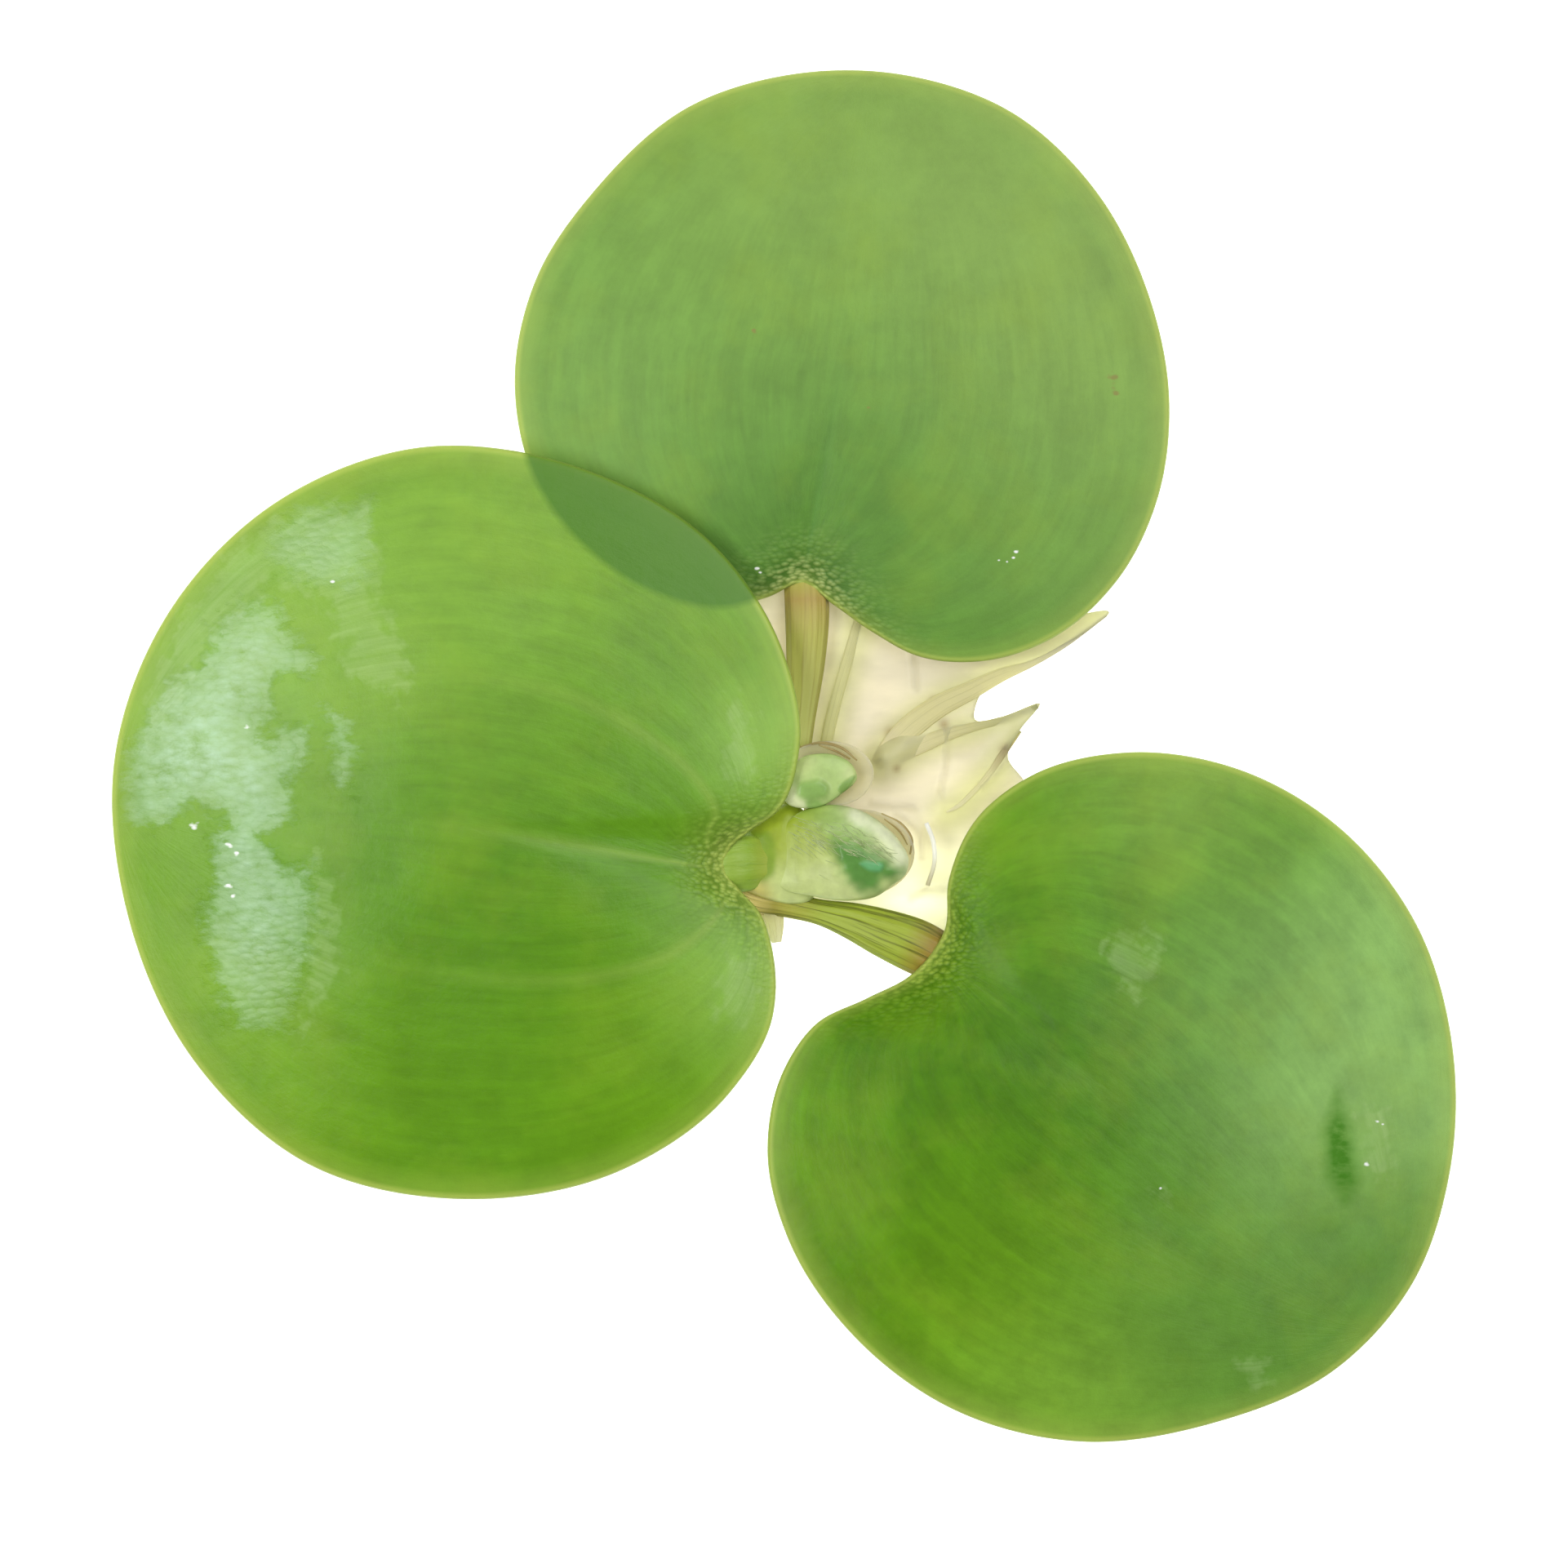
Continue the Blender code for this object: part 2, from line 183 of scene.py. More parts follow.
def leaf(
    name, margin, middle, dome, depth, tip, spots, wet, shade, pale_marks_and_sheen, dents, material, uphill, low_side
):
    """A leaf over its margin. Each spoke runs from the middle to the margin. The upper face stands above the
    rim by the dome's height times one less the squared share of the spoke, and the rim is a half round. The
    underside lies a thickness below, pressed flat by the surface and dimpled by three crossed cosines."""
    edge = smooth_line(margin, 20)
    outward = (edge - middle) / np.linalg.norm(edge - middle, axis=1)[:, None]
    rings_above, rings_round, rings_below = 112, 7, 40
    share = np.concatenate([np.linspace(0, 1, rings_above + 1)[1:], np.ones(rings_round)])
    share = np.concatenate([share, np.linspace(1, 0, rings_below + 1)[1:-1]])[:, None]
    level = np.concatenate([np.zeros(rings_above), (np.arange(rings_round) + 1) / rings_round])
    level = np.concatenate([level, np.ones(rings_below - 1)])[:, None]
    tucked = RIM_TUCK * (share**30 - np.sin(np.pi * level) * (share == 1))
    ground = np.array(middle) + (edge - middle)[None] * share[..., None] - outward[None] * tucked[..., None]
    x, y = ground[..., 0], ground[..., 1]

    base = edge[0]
    angle = np.unwrap(np.arctan2(edge[:, 1] - middle[1], edge[:, 0] - middle[0]))
    tip_angle = np.arctan2(tip[1] - middle[1], tip[0] - middle[0])
    half = ((tip_angle - angle[0]) % (2 * np.pi)) / (2 * np.pi)
    turned = (angle - angle[0]) / (2 * np.pi)
    turned = np.where(turned < half, turned / half / 2, 0.5 + (turned - half) / (1 - half) / 2)
    around = np.pi + turned * 2 * np.pi
    disc_x, disc_y = share * np.cos(around), share * np.sin(around)
    to_base = np.hypot(disc_x + 1, disc_y) + 1e-6
    to_tip = np.hypot(disc_x - 1, disc_y) + 1e-6
    vein = np.arctan2(2 * disc_y, 1 - disc_x**2 - disc_y**2 + 1e-9) / (np.pi / 2)
    along = to_base / (to_base + to_tip)
    notch = np.abs(edge_distance(x, y, edge)) + 0.55 * np.hypot(x - base[0], y - base[1])

    slope = np.maximum(0, x * uphill[0] + y * uphill[1] - low_side)
    inward = np.maximum(0, 1 - share**2)
    ribs = np.exp(-((vein / 0.035) ** 2)) + 0.5 * np.exp(-(((np.abs(vein) - 0.48) / 0.03) ** 2))
    waves = 0.03 * np.sin(x * 0.61 + y * 0.35) * np.sin(y * 0.52 - x * 0.3)
    waves = waves + 0.012 * np.sin(along * 40) * np.sin(vein * 9)
    upper = RIM_HEIGHT + slope + dome * inward - 0.012 * ribs * np.clip(1.1 - along, 0, 1) * inward**0.3
    upper = upper + waves * np.clip(inward * 3, 0, 1) - NOTCH_SINK * np.exp(-((notch / 1.2) ** 2))
    for dent_x, dent_y, radius, deep in dents:
        upper = upper - deep * np.exp(-((x - dent_x) ** 2 + (y - dent_y) ** 2) / radius**2)
    thickness = RIM_THICKNESS + (depth - RIM_THICKNESS) * inward**1.2
    cells = sum(
        np.cos((x * np.cos(a) + y * np.sin(a)) * AIR_CELL_TURN + np.sin(y * 0.7 + a))
        for a in (0.0, 2.094, 4.189)
    )
    dimples = AIR_CELL_DEPTH * (3.0 - cells) * np.clip(inward * 2, 0, 1)
    lower = np.maximum(0.0, upper - thickness) + dimples
    height = upper + (lower - upper) * (1 - np.cos(np.pi * level)) / 2
    rings = np.concatenate([ground, height[..., None]], axis=-1)
    top_point = (*middle, np.mean(height[0]))
    piece = skin(name, rings, top_point, (*middle, 0.02), material, [name])

    under = level + 0 * x
    tint = patches(x, y, spots, LEAF_GREENS)
    pad = np.array(linear(AIR_CELL_COLOUR)[:3]) * (0.8 + 0.1 * cells[..., None])
    tint = tint + (pad - tint) * np.clip(under * 1.6 - 0.6, 0, 1)[..., None]
    nothing = np.full_like(x, NO_MARK)
    wetness = np.minimum.reduce([nothing] + [edge_distance(x, y, patch) for patch in wet])
    # The outline of the leaf below, where painted shade darkens this one.
    over = edge_distance(x, y, smooth_line(shade, 6)) if shade else nothing
    # Pale marks: marks left by drying water, and patches of painted sheen.
    pale = np.minimum.reduce([edge_distance(x, y, mark) for mark in pale_marks_and_sheen]) if pale_marks_and_sheen else nothing
    centre_tint = patches(np.array(middle[0]), np.array(middle[1]), spots, LEAF_GREENS)
    far = (NO_MARK, NO_MARK, 12.0)
    store(piece, "tint", tint, centre_tint, linear(AIR_CELL_COLOUR)[:3])
    store(piece, "veins", np.stack([along, vein, share + 0 * x], -1), (0.5, 0.0, 0.0), (0.5, 0.0, 0.0))
    store(piece, "marks", np.stack([wetness, over, notch], -1), far, far)
    sides = np.stack([under, pale, inward + 0 * x], -1)
    store(piece, "faces", sides, (0.0, NO_MARK, 1.0), (1.0, NO_MARK, 1.0))
    return piece


def add(tree, kind, links=None, **settings):
    """Adds one shader node with its settings; each socket in links gets a value or joins an output."""
    made = tree.nodes.new("ShaderNode" + kind)
    for key, value in settings.items():
        setattr(made, key, value)
    for socket, value in (links or {}).items():
        if isinstance(value, bpy.types.NodeSocket):
            tree.links.new(value, made.inputs[socket])
        else:
            made.inputs[socket].default_value = value
    return made


def tissue(name):
    """A new material that holds only the place on the object and the colour kept on the mesh."""
    material = bpy.data.materials.new(name)
    material.use_nodes = True
    tree = material.node_tree
    tree.nodes.clear()
    spot = add(tree, "TexCoord").outputs["Object"]
    tint = add(tree, "Attribute", attribute_name="tint").outputs["Color"]
    return material, tree, spot, tint


def finish_tissue(tree, colour, rough, bump, ior, through_share, gloss=0.5):
    """The end of each living tissue: a moist surface, and the share of light that shines through it."""
    shader = add(
        tree, "BsdfPrincipled",
        {"Base Color": colour, "Roughness": rough, "Normal": bump, "IOR": ior, "Specular IOR Level": gloss},
    ).outputs[0]
    through = add(tree, "BsdfTranslucent", {"Color": colour}).outputs[0]
    both = add(tree, "MixShader", {0: through_share, 1: shader, 2: through}).outputs[0]
    add(tree, "OutputMaterial", {"Surface": both})


def ramp(made, stops):
    """Sets a colour ramp's stops from (position, brightness) pairs."""
    spare = made.color_ramp.elements
    while len(spare) < len(stops):
        spare.new(1.0)
    for stop, (position, value) in zip(spare, stops):
        stop.position = position
        stop.color = (value, value, value, 1.0)
    return made


def waxy_leaf(name, dry, gloss, mottle, film, lines, cell_and_highlight_code, vein_code, vein_share, glints, stains):
    """A living leaf's waxy skin: fine lines along the veins, a net of main veins, pebbled air cells round the
    notch, pale on top in their own colour and a painted highlight with painted shade between them, and a
    yellow rim. dry is its roughness and gloss its mirror share. film is the wet film's roughness, the colour
    and strength of the reflection painted on it, how ragged its edge is, and the place in mm where that is
    strongest. vein_share is how much the midrib and the side veins show. glints are tiny painted white
    highlights and stains small brown ones, each an (x, y, radius) in mm."""
    material, tree, spot, tint = tissue(name)
    kept = []
    for attribute in ("veins", "marks", "faces"):
        vector = add(tree, "Attribute", attribute_name=attribute).outputs["Vector"]
        kept.append(add(tree, "SeparateXYZ", {0: vector}).outputs)
    vein, mark, face = kept

    # Lines 0.35 mm apart run with the veins and fade at the tip, over dabs 0.8 mm wide; the blade is 12 mm
    # from midrib to margin.
    run = add(tree, "CombineXYZ", {0: vein[0], 1: vein[1]}).outputs[0]
    run = add(tree, "VectorMath", {0: run, 1: (7.0, 36.0, 1.0)}, operation="MULTIPLY").outputs[0]
    fine = add(tree, "TexNoise", {"Vector": run, "Scale": 1.0, "Detail": 4.0, "Roughness": 0.65}).outputs[0]
    fine_level = add(tree, "MapRange", {0: fine, 1: 0.3, 2: 0.7, 3: -lines, 4: lines}).outputs[0]
    to_tip = add(tree, "MapRange", {0: vein[0], 1: 0.55, 2: 0.8, 3: 1.0, 4: 0.1}).outputs[0]
    fine_level = add(tree, "Math", {0: fine_level, 1: to_tip}, operation="MULTIPLY").outputs[0]
    blotch = add(
        tree, "TexNoise", {"Vector": spot, "Scale": 420.0, "Detail": 9.0, "Roughness": 0.7}
    ).outputs[0]
    level = add(tree, "MapRange", {0: blotch, 1: 0.3, 2: 0.7, 3: 1 - mottle, 4: 1 + mottle}).outputs[0]
    level = add(tree, "Math", {0: level, 1: fine_level}, operation="ADD").outputs[0]
    run = add(tree, "VectorMath", {0: run, 1: (1.3, 0.45, 1.0)}, operation="MULTIPLY").outputs[0]
    dabs = add(tree, "TexNoise", {"Vector": run, "Scale": 1.0, "Detail": 5.0, "Roughness": 0.6}).outputs[0]
    dabs = add(
        tree, "MapRange", {0: dabs, 1: 0.44, 2: 0.56, 3: -0.3 * mottle, 4: 0.3 * mottle}
    ).outputs[0]
    dabs = add(tree, "Math", {0: dabs, 1: to_tip}, operation="MULTIPLY").outputs[0]
    level = add(tree, "Math", {0: level, 1: dabs}, operation="ADD").outputs[0]
    colour = add(tree, "VectorMath", {0: tint, 3: level}, operation="SCALE").outputs[0]
    broad = add(
        tree, "TexNoise", {"Vector": spot, "Scale": 230.0, "Detail": 5.0, "Roughness": 0.6}
    ).outputs[0]
    gold = add(tree, "MapRange", {0: broad, 1: 0.48, 2: 0.68, 3: 0.0, 4: 0.22}).outputs[0]
    colour = add(tree, "Mix", {0: gold, 6: colour, 7: linear("#8fae2c")}, data_type="RGBA").outputs[2]

    # Main veins: the midrib and two pairs of arcs, clearest near the stalk.
    size = add(tree, "Math", {0: vein[1]}, operation="ABSOLUTE").outputs[0]
    net = ramp(
        add(tree, "ValToRGB", {0: size}),
        [(0.0, 0.9), (0.025, 0.5), (0.06, 0.0), (0.44, 0.0), (0.48, vein_share[1]), (0.52, 0.0),
         (1.0, 0.0)],
    ).outputs[0]
    fade = add(tree, "MapRange", {0: vein[0], 1: 0.1, 2: 0.62, 3: vein_share[0], 4: 0.0}).outputs[0]
    net = add(tree, "Math", {0: net, 1: fade}, operation="MULTIPLY").outputs[0]
    colour = add(tree, "Mix", {0: net, 6: colour, 7: linear(vein_code)}, data_type="RGBA").outputs[2]

    # Air cells 0.15 mm wide and twice as long stand up as pebbles along the notch. Their tops are pale,
    # partly in their own colour and partly as a painted highlight, and painted shade darkens the gaps between
    # them.
    lie = add(
        tree, "Mapping", {"Vector": spot, "Rotation": (0, 0, 0.6), "Scale": (0.55, 1.0, 1.0)}
    ).outputs[0]
    cells = add(tree, "TexVoronoi", {"Vector": lie, "Scale": 6500.0}, feature="F1").outputs["Distance"]
    cell_top = add(tree, "MapRange", {0: cells, 1: 0.15, 2: 0.7, 3: 1.0, 4: 0.0}).outputs[0]
    near = add(tree, "MapRange", {0: mark[2], 1: 1.0, 2: 4.2, 3: 1.0, 4: 0.0}).outputs[0]
    near = add(tree, "Math", {0: near, 1: 1.5}, operation="POWER").outputs[0]
    pebble = add(tree, "Math", {0: near, 1: cell_top}, operation="MULTIPLY").outputs[0]
    pebble_gap_shade = add(tree, "Math", {0: near, 1: pebble}, operation="SUBTRACT").outputs[0]
    pebble_gap_shade = add(tree, "Math", {0: pebble_gap_shade, 1: -0.32, 2: 1.0}, operation="MULTIPLY_ADD").outputs[0]
    colour = add(tree, "VectorMath", {0: colour, 3: pebble_gap_shade}, operation="SCALE").outputs[0]
    close = add(tree, "MapRange", {0: mark[2], 1: 0.3, 2: 1.9, 3: 0.6, 4: 0.12}).outputs[0]
    pebble_highlight = add(tree, "Math", {0: pebble, 1: close}, operation="MULTIPLY").outputs[0]
    colour = add(tree, "Mix", {0: pebble_highlight, 6: colour, 7: linear(cell_and_highlight_code)}, data_type="RGBA").outputs[2]

    # The rim is thin and yellow. Painted shade darkens the leaf where another lies under it, for the light
    # from below that the lower leaf holds back.
    rim = ramp(
        add(tree, "ValToRGB", {0: vein[2]}), [(0.0, 0.0), (0.92, 0.0), (0.985, 0.18), (1.0, 0.6)]
    ).outputs[0]
    colour = add(tree, "Mix", {0: rim, 6: colour, 7: linear("#bccb62")}, data_type="RGBA").outputs[2]
    over = add(tree, "MapRange", {0: mark[1], 1: 0.15, 2: -0.15, 3: 0.0, 4: 0.85}).outputs[0]
    over = add(tree, "Math", {0: over, 1: face[0]}, operation="SUBTRACT", use_clamp=True).outputs[0]
    colour = add(tree, "Mix", {0: over, 6: colour, 7: linear("#457818")}, data_type="RGBA").outputs[2]
    # Pale patches with ragged, streaky edges: painted sheen on the left leaf, and on the right leaf marks
    # that drying water left and painted sheen beside the slick.
    grit = add(tree, "TexNoise", {"Vector": spot, "Scale": 1700.0, "Detail": 4.0}).outputs[0]
    rag = add(tree, "Math", {0: grit, 1: 2.4, 2: -1.2}, operation="MULTIPLY_ADD").outputs[0]
    pale = add(tree, "Math", {0: face[1], 1: rag}, operation="ADD").outputs[0]
    pale = add(tree, "MapRange", {0: pale, 1: 0.14, 2: -0.35, 3: 0.0, 4: 0.5}).outputs[0]
    streaky = add(tree, "Math", {0: fine, 1: 1.3, 2: -0.3}, operation="MULTIPLY_ADD").outputs[0]
    pale = add(tree, "Math", {0: pale, 1: streaky}, operation="MULTIPLY", use_clamp=True).outputs[0]
    colour = add(tree, "Mix", {0: pale, 6: colour, 7: linear("#b5d08e")}, data_type="RGBA").outputs[2]

    # A wet film lies where the mark is below zero. Its edge wanders by up to 1 mm with streaky flakes. Its
    # colour
    # is painted: a reflection on the left leaf, darkness where sheen is missing on the right one. It is
    # stronger towards its middle, mottled by the flakes and by scales 0.25 mm wide and twice as long.
    wet, film_reflection_code, film_reflection_share, fray, heart = film
    flat = add(
        tree, "Mapping", {"Vector": spot, "Rotation": (0, 0, -0.25), "Scale": (0.5, 1.0, 0.0)}
    ).outputs[0]
    flakes = add(
        tree, "TexNoise", {"Vector": flat, "Scale": 2300.0, "Detail": 6.0, "Roughness": 0.72}
    ).outputs[0]
    scales = add(tree, "TexVoronoi", {"Vector": flat, "Scale": 4000.0}, feature="F1").outputs["Distance"]
    wander = add(tree, "Math", {0: blotch, 1: flakes}, operation="ADD").outputs[0]
    wander = add(tree, "Math", {0: wander, 1: 3 * fray, 2: -3 * fray}, operation="MULTIPLY_ADD").outputs[0]
    depth = add(tree, "Math", {0: mark[0], 1: wander}, operation="ADD").outputs[0]
    edge = add(tree, "MapRange", {0: depth, 1: 0.3, 2: -0.25, 3: 0.0, 4: 1.0}).outputs[0]
    rough = add(tree, "MapRange", {0: edge, 1: 0.0, 2: 1.0, 3: dry, 4: wet}).outputs[0]
    core = add(tree, "MapRange", {0: depth, 1: 0.1, 2: -1.6, 3: 0.5, 4: 1.0}).outputs[0]
    away = add(
        tree, "VectorMath", {0: spot, 1: (heart[0] * MM, heart[1] * MM, 0.0)}, operation="DISTANCE"
    ).outputs["Value"]
    whitest = add(tree, "MapRange", {0: away, 1: 2.5 * MM, 2: 9 * MM, 3: 1.0, 4: 0.45}).outputs[0]
    painted_reflection = -0.75
    for pattern, amount in ((flakes, 1.7), (blotch, 1.5), (scales, -0.4)):
        painted_reflection = add(tree, "Math", {0: pattern, 1: amount, 2: painted_reflection}, operation="MULTIPLY_ADD").outputs[0]
    for factor in (edge, core, whitest):
        painted_reflection = add(tree, "Math", {0: painted_reflection, 1: factor}, operation="MULTIPLY").outputs[0]
    painted_reflection = add(tree, "Math", {0: painted_reflection, 1: film_reflection_share}, operation="MULTIPLY", use_clamp=True).outputs[0]
    colour = add(tree, "Mix", {0: painted_reflection, 6: colour, 7: linear(film_reflection_code)}, data_type="RGBA").outputs[2]

    # The stains are the leaf's own brown marks; the glints are painted white highlights.
    for dots, code in ((stains, "#87823f"), (glints, "#ffffff")):
        for dot_x, dot_y, radius in dots:
            beside = add(
                tree, "VectorMath", {0: spot, 1: (dot_x * MM, dot_y * MM, 0.0)}, operation="SUBTRACT"
            ).outputs[0]
            beside = add(
                tree, "VectorMath", {0: beside, 1: (1000.0, 1400.0, 0.0)}, operation="MULTIPLY"
            ).outputs[0]
            beside = add(tree, "VectorMath", {0: beside}, operation="LENGTH").outputs["Value"]
            beside = add(
                tree, "Math", {0: cells, 1: radius, 2: beside}, operation="MULTIPLY_ADD"
            ).outputs[0]
            dot = add(
                tree, "MapRange", {0: beside, 1: radius * 0.7, 2: radius * 1.2, 3: 0.85, 4: 0.0}
            ).outputs[0]
            colour = add(tree, "Mix", {0: dot, 6: colour, 7: linear(code)}, data_type="RGBA").outputs[2]

    # One relief for all: broad ripples, the fine lines, the pebbles, and the film's scales.
    puff = add(tree, "Math", {0: scales, 1: edge}, operation="MULTIPLY").outputs[0]
    relief = 0.0
    for pattern, amount in ((fine, 0.16), (blotch, 0.7), (pebble, 0.35), (puff, -0.28)):
        relief = add(tree, "Math", {0: pattern, 1: amount, 2: relief}, operation="MULTIPLY_ADD").outputs[0]
    bump = add(tree, "Bump", {"Height": relief, "Strength": 0.6, "Distance": 0.00013}).outputs[0]
    finish_tissue(tree, colour, rough, bump, 1.4, 0.1, gloss)
    return material


# On this leaf the wet film's pale colour is a painted reflection of the window, strongest at (-21.6, 3.2).
WET_LEAF = waxy_leaf(
    "wet waxy leaf", 0.32, 0.36, 0.13, (0.16, "#c6e6ce", 0.64, 0.9, (-21.6, 3.2)), 0.06,
    "#c6d272", "#a3bd55", (0.4, 0.8),
    # Painted highlights: the white glints.
    [(-21.35, 1.45, 0.3), (-20.0, 0.75, 0.22), (-19.75, 0.45, 0.18), (-20.05, -0.75, 0.2),
     (-19.9, -1.1, 0.16), (-19.35, 5.05, 0.16), (-16.2, 10.4, 0.15)],
    [],
)
leaf(
    "leaf_left", LEFT_MARGIN, (-11.8, 1.5), 1.8, 4.0, (-24.4, 2.3),
    # Colour patches: the pale ones on the upper half and the two light spots on the right lobes are painted
    # sheen; the others are the leaf's own greens.
    [
        (-9, 9, 4.5, "pale"), (-16, 11, 4.0, "pale"), (-10, 0, 5.0, "deep"), (-5, 5, 3.5, "mid"),
        (-8, -7, 4.5, "mid"), (-4, -8, 3.0, "yellow"), (-20, -6, 4.0, "yellow"), (-1.0, 4.5, 1.4, "lobe_sheen"),
        (-1.6, -4.6, 1.8, "lobe_sheen"), (-1.5, 0.2, 1.1, "collar"), (-22, 7, 3.0, "pale"),
    ],
    LEFT_WET, TOP_MARGIN, LEFT_PAINTED_SHEEN, [(-8.0, 10.0, 1.6, 0.06)],
    WET_LEAF, (0.042, 0.053), -1.03,
)

# The upper leaf
# A drier, duller leaf of the same kind. Its lower left edge lies under the left leaf, and its
# midrib shows darker than the blade.

DULL_LEAF = waxy_leaf(
    "dry waxy leaf", 0.5, 0.5, 0.12, (0.5, "#7d8f66", 0.0, 1.0, (0.0, 0.0)), 0.05,
    "#dfe399", "#55883a", (0.5, 0.0),
    # Painted highlights: the white glints.
    [(-0.7, 10.9, 0.14), (-0.55, 10.75, 0.1), (8.85, 11.5, 0.13), (8.75, 11.3, 0.11), (8.5, 11.15, 0.1),
     (8.2, 11.2, 0.08)],
    [(12.4, 17.9, 0.35), (12.5, 17.4, 0.3), (-0.8, 19.6, 0.16), (3.4, 16.8, 0.13)],
)
leaf(
    "leaf_top", TOP_MARGIN, (2.4, 18.2), 1.4, 3.0, (3.6, 29.2),
    # Colour patches: lit at the top and the right is painted sheen and shaded beside the notch is painted
    # shade; the others are the leaf's own greens.
    [
        (2, 25, 4.5, "lit"), (2, 16, 4.5, "cool"), (-6, 20, 4.0, "dull"), (11, 20, 4.0, "lit"),
        (6, 10, 3.5, "cool"), (1, 12.0, 2.2, "shaded"), (8, 26, 3.0, "lit"), (11.5, 12, 3.0, "dull"),
    ],
    [], None, [], [], DULL_LEAF, (0.0, 0.0), 0.0,
)

# The right leaf
# Wet and softly shiny on its right half, where sheen is painted as well, deep yellow-green on its left,
# with the marks that thin water leaves as it dries; the slick is painted dark for the sheen it lacks.

RIGHT_MARGIN = [
    (5.75, -3.2), (5.0, -4.0), (3.4, -4.85), (1.5, -5.8), (0.3, -7.5), (-0.3, -10.5), (0.5, -13.8),
    (2.9, -17.3), (6.5, -19.95), (11.2, -21.15), (16.0, -20.5), (20.6, -18.5), (23.4, -15.4), (24.8, -11.3),
    (24.9, -6.6), (23.6, -2.2), (20.8, 1.35), (17.0, 3.55), (12.8, 4.15), (9.4, 3.3), (7.3, 1.6),
    (6.35, -0.6), (6.2, -2.4),
]
RIGHT_SLICK = [(20.6, -8.3), (21.1, -9.6), (21.4, -11.6), (20.9, -12.4), (20.2, -11.4), (20.1, -9.8)]
# Pale marks on the right leaf: the first two are marks that drying water left, the small third one a pale
# fleck by a glint, and the last painted sheen beside the slick.
RIGHT_PALE_MARKS_AND_SHEEN = [
    [(12.1, -2.6), (13.9, -2.5), (14.1, -3.6), (13.1, -5.0), (12.2, -4.0)],
    [(16.9, -17.9), (18.1, -18.1), (18.2, -19.2), (17.5, -19.3), (17.2, -18.6)],
    [(13.8, -11.8), (14.4, -11.7), (14.3, -12.2)],
    [(21.5, -8.7), (22.6, -9.0), (22.5, -11.6), (21.7, -11.2)],
]
RIGHT_DENTS = [
    (17.2, -7.2, 0.5, 0.05), (17.7, -9.4, 0.5, 0.05), (16.7, -9.9, 0.4, 0.04), (15.6, -8.4, 0.5, 0.03),
    (18.4, -11.5, 0.9, 0.05), (11.1, -7.3, 0.7, 0.03), (13.0, -3.3, 0.6, 0.05), (14.2, -12.8, 0.8, 0.05),
    (20.2, -13.6, 0.7, 0.05), (21.8, -14.8, 0.5, 0.04), (22.6, -10.2, 0.6, 0.05), (16.2, -16.5, 1.0, 0.06),
]
# On this leaf the slick's dark colour is painted where the sheen is missing.
MOIST_LEAF = waxy_leaf(
    "moist waxy leaf", 0.34, 0.22, 0.19, (0.6, "#437e16", 1.8, 0.14, (20.7, -10.3)), 0.06,
    "#b2c552", "#7ea73f", (0.16, 0.0),
    # Painted highlights: the white glints.
    [(22.1, -9.4, 0.14), (22.3, -9.5, 0.1), (21.65, -10.95, 0.17), (14.1, -11.8, 0.1)], [],
)
leaf(
    "leaf_right", RIGHT_MARGIN, (12.4, -8.4), 1.7, 4.0, (22.2, -17.2),
    # Colour patches: sheen and lit, and cool on the right half, are painted sheen, and shaded in the middle
    # is painted shade; the others are the leaf's own greens.
    [
        (9, -10, 4.0, "gold"), (3, -13, 4.0, "gold"), (13, 1, 3.5, "mid"), (14, 3, 2.0, "lit"),
        (21, -7, 3.5, "sheen"),
        (16, -16, 3.5, "cool"), (5, -6, 2.5, "gold"), (10, -20, 3.0, "pale"), (7, 0, 2.0, "mid"),
        (1, -10, 1.5, "yellow"), (16, -5, 2.5, "cool"), (12, -7, 2.5, "shaded"), (22, -14, 2.0, "cool"),
        (7, -15, 3.0, "yellow"),
    ],
    [RIGHT_SLICK], None, RIGHT_PALE_MARKS_AND_SHEEN, RIGHT_DENTS, MOIST_LEAF, (-0.048, -0.036), -1.06,
)

# The leaf stalks
# Soft ribbed stalks, olive with brown streaks, redder where they enter their leaves. The left one
# is a thick pale collar, and the other two flare towards their leaves.


def tint_along(share, stops):
    """The colour at each share of the length, between (share, sRGB code) stops."""
    places = [stop[0] for stop in stops]
    codes = np.array([linear(stop[1])[:3] for stop in stops])
    return np.stack([np.interp(share, places, codes[:, i]) for i in range(3)], axis=-1)


def stalk(name, route, flatten, ribs, rib_depth, colours, material, nodes, sides=28, samples=10):
    """An oval tube along a smooth route of (x, y, z, half width), in mm: across the route it is as wide as
    given, and flatten times that high. The ribs are a cosine round the tube."""
    line = smooth_line(route, samples, closed=False)
    centre, width = line[:, :3], line[:, 3]
    ahead = np.gradient(centre[:, :2], axis=0)
    ahead /= np.linalg.norm(ahead, axis=1)[:, None] + 1e-9
    side = np.stack([ahead[:, 1], -ahead[:, 0], np.zeros(len(line))], axis=-1)
    turn = np.arange(sides) / sides * 2 * np.pi
    reach = width[:, None] * (1 + rib_depth * np.cos(ribs * turn)[None])
    rings = centre[:, None] + side[:, None] * (reach * np.cos(turn)[None])[..., None]
    rings[..., 2] += reach * flatten * np.sin(turn)[None]
    rings[..., 2] = np.maximum(rings[..., 2], 0.0)
    piece = skin(name, rings, centre[0], centre[-1], material, nodes)
    share = np.linspace(0, 1, len(line))[:, None] + 0 * reach
    round_x, round_y = np.cos(turn)[None] + 0 * reach, np.sin(turn)[None] + 0 * reach
    store(piece, "stalk", np.stack([share, round_x, round_y], -1), (0, 0, 0), (1, 0, 0))
    store(piece, "tint", tint_along(share, colours), linear(colours[0][1])[:3], linear(colours[-1][1])[:3])
    return piece


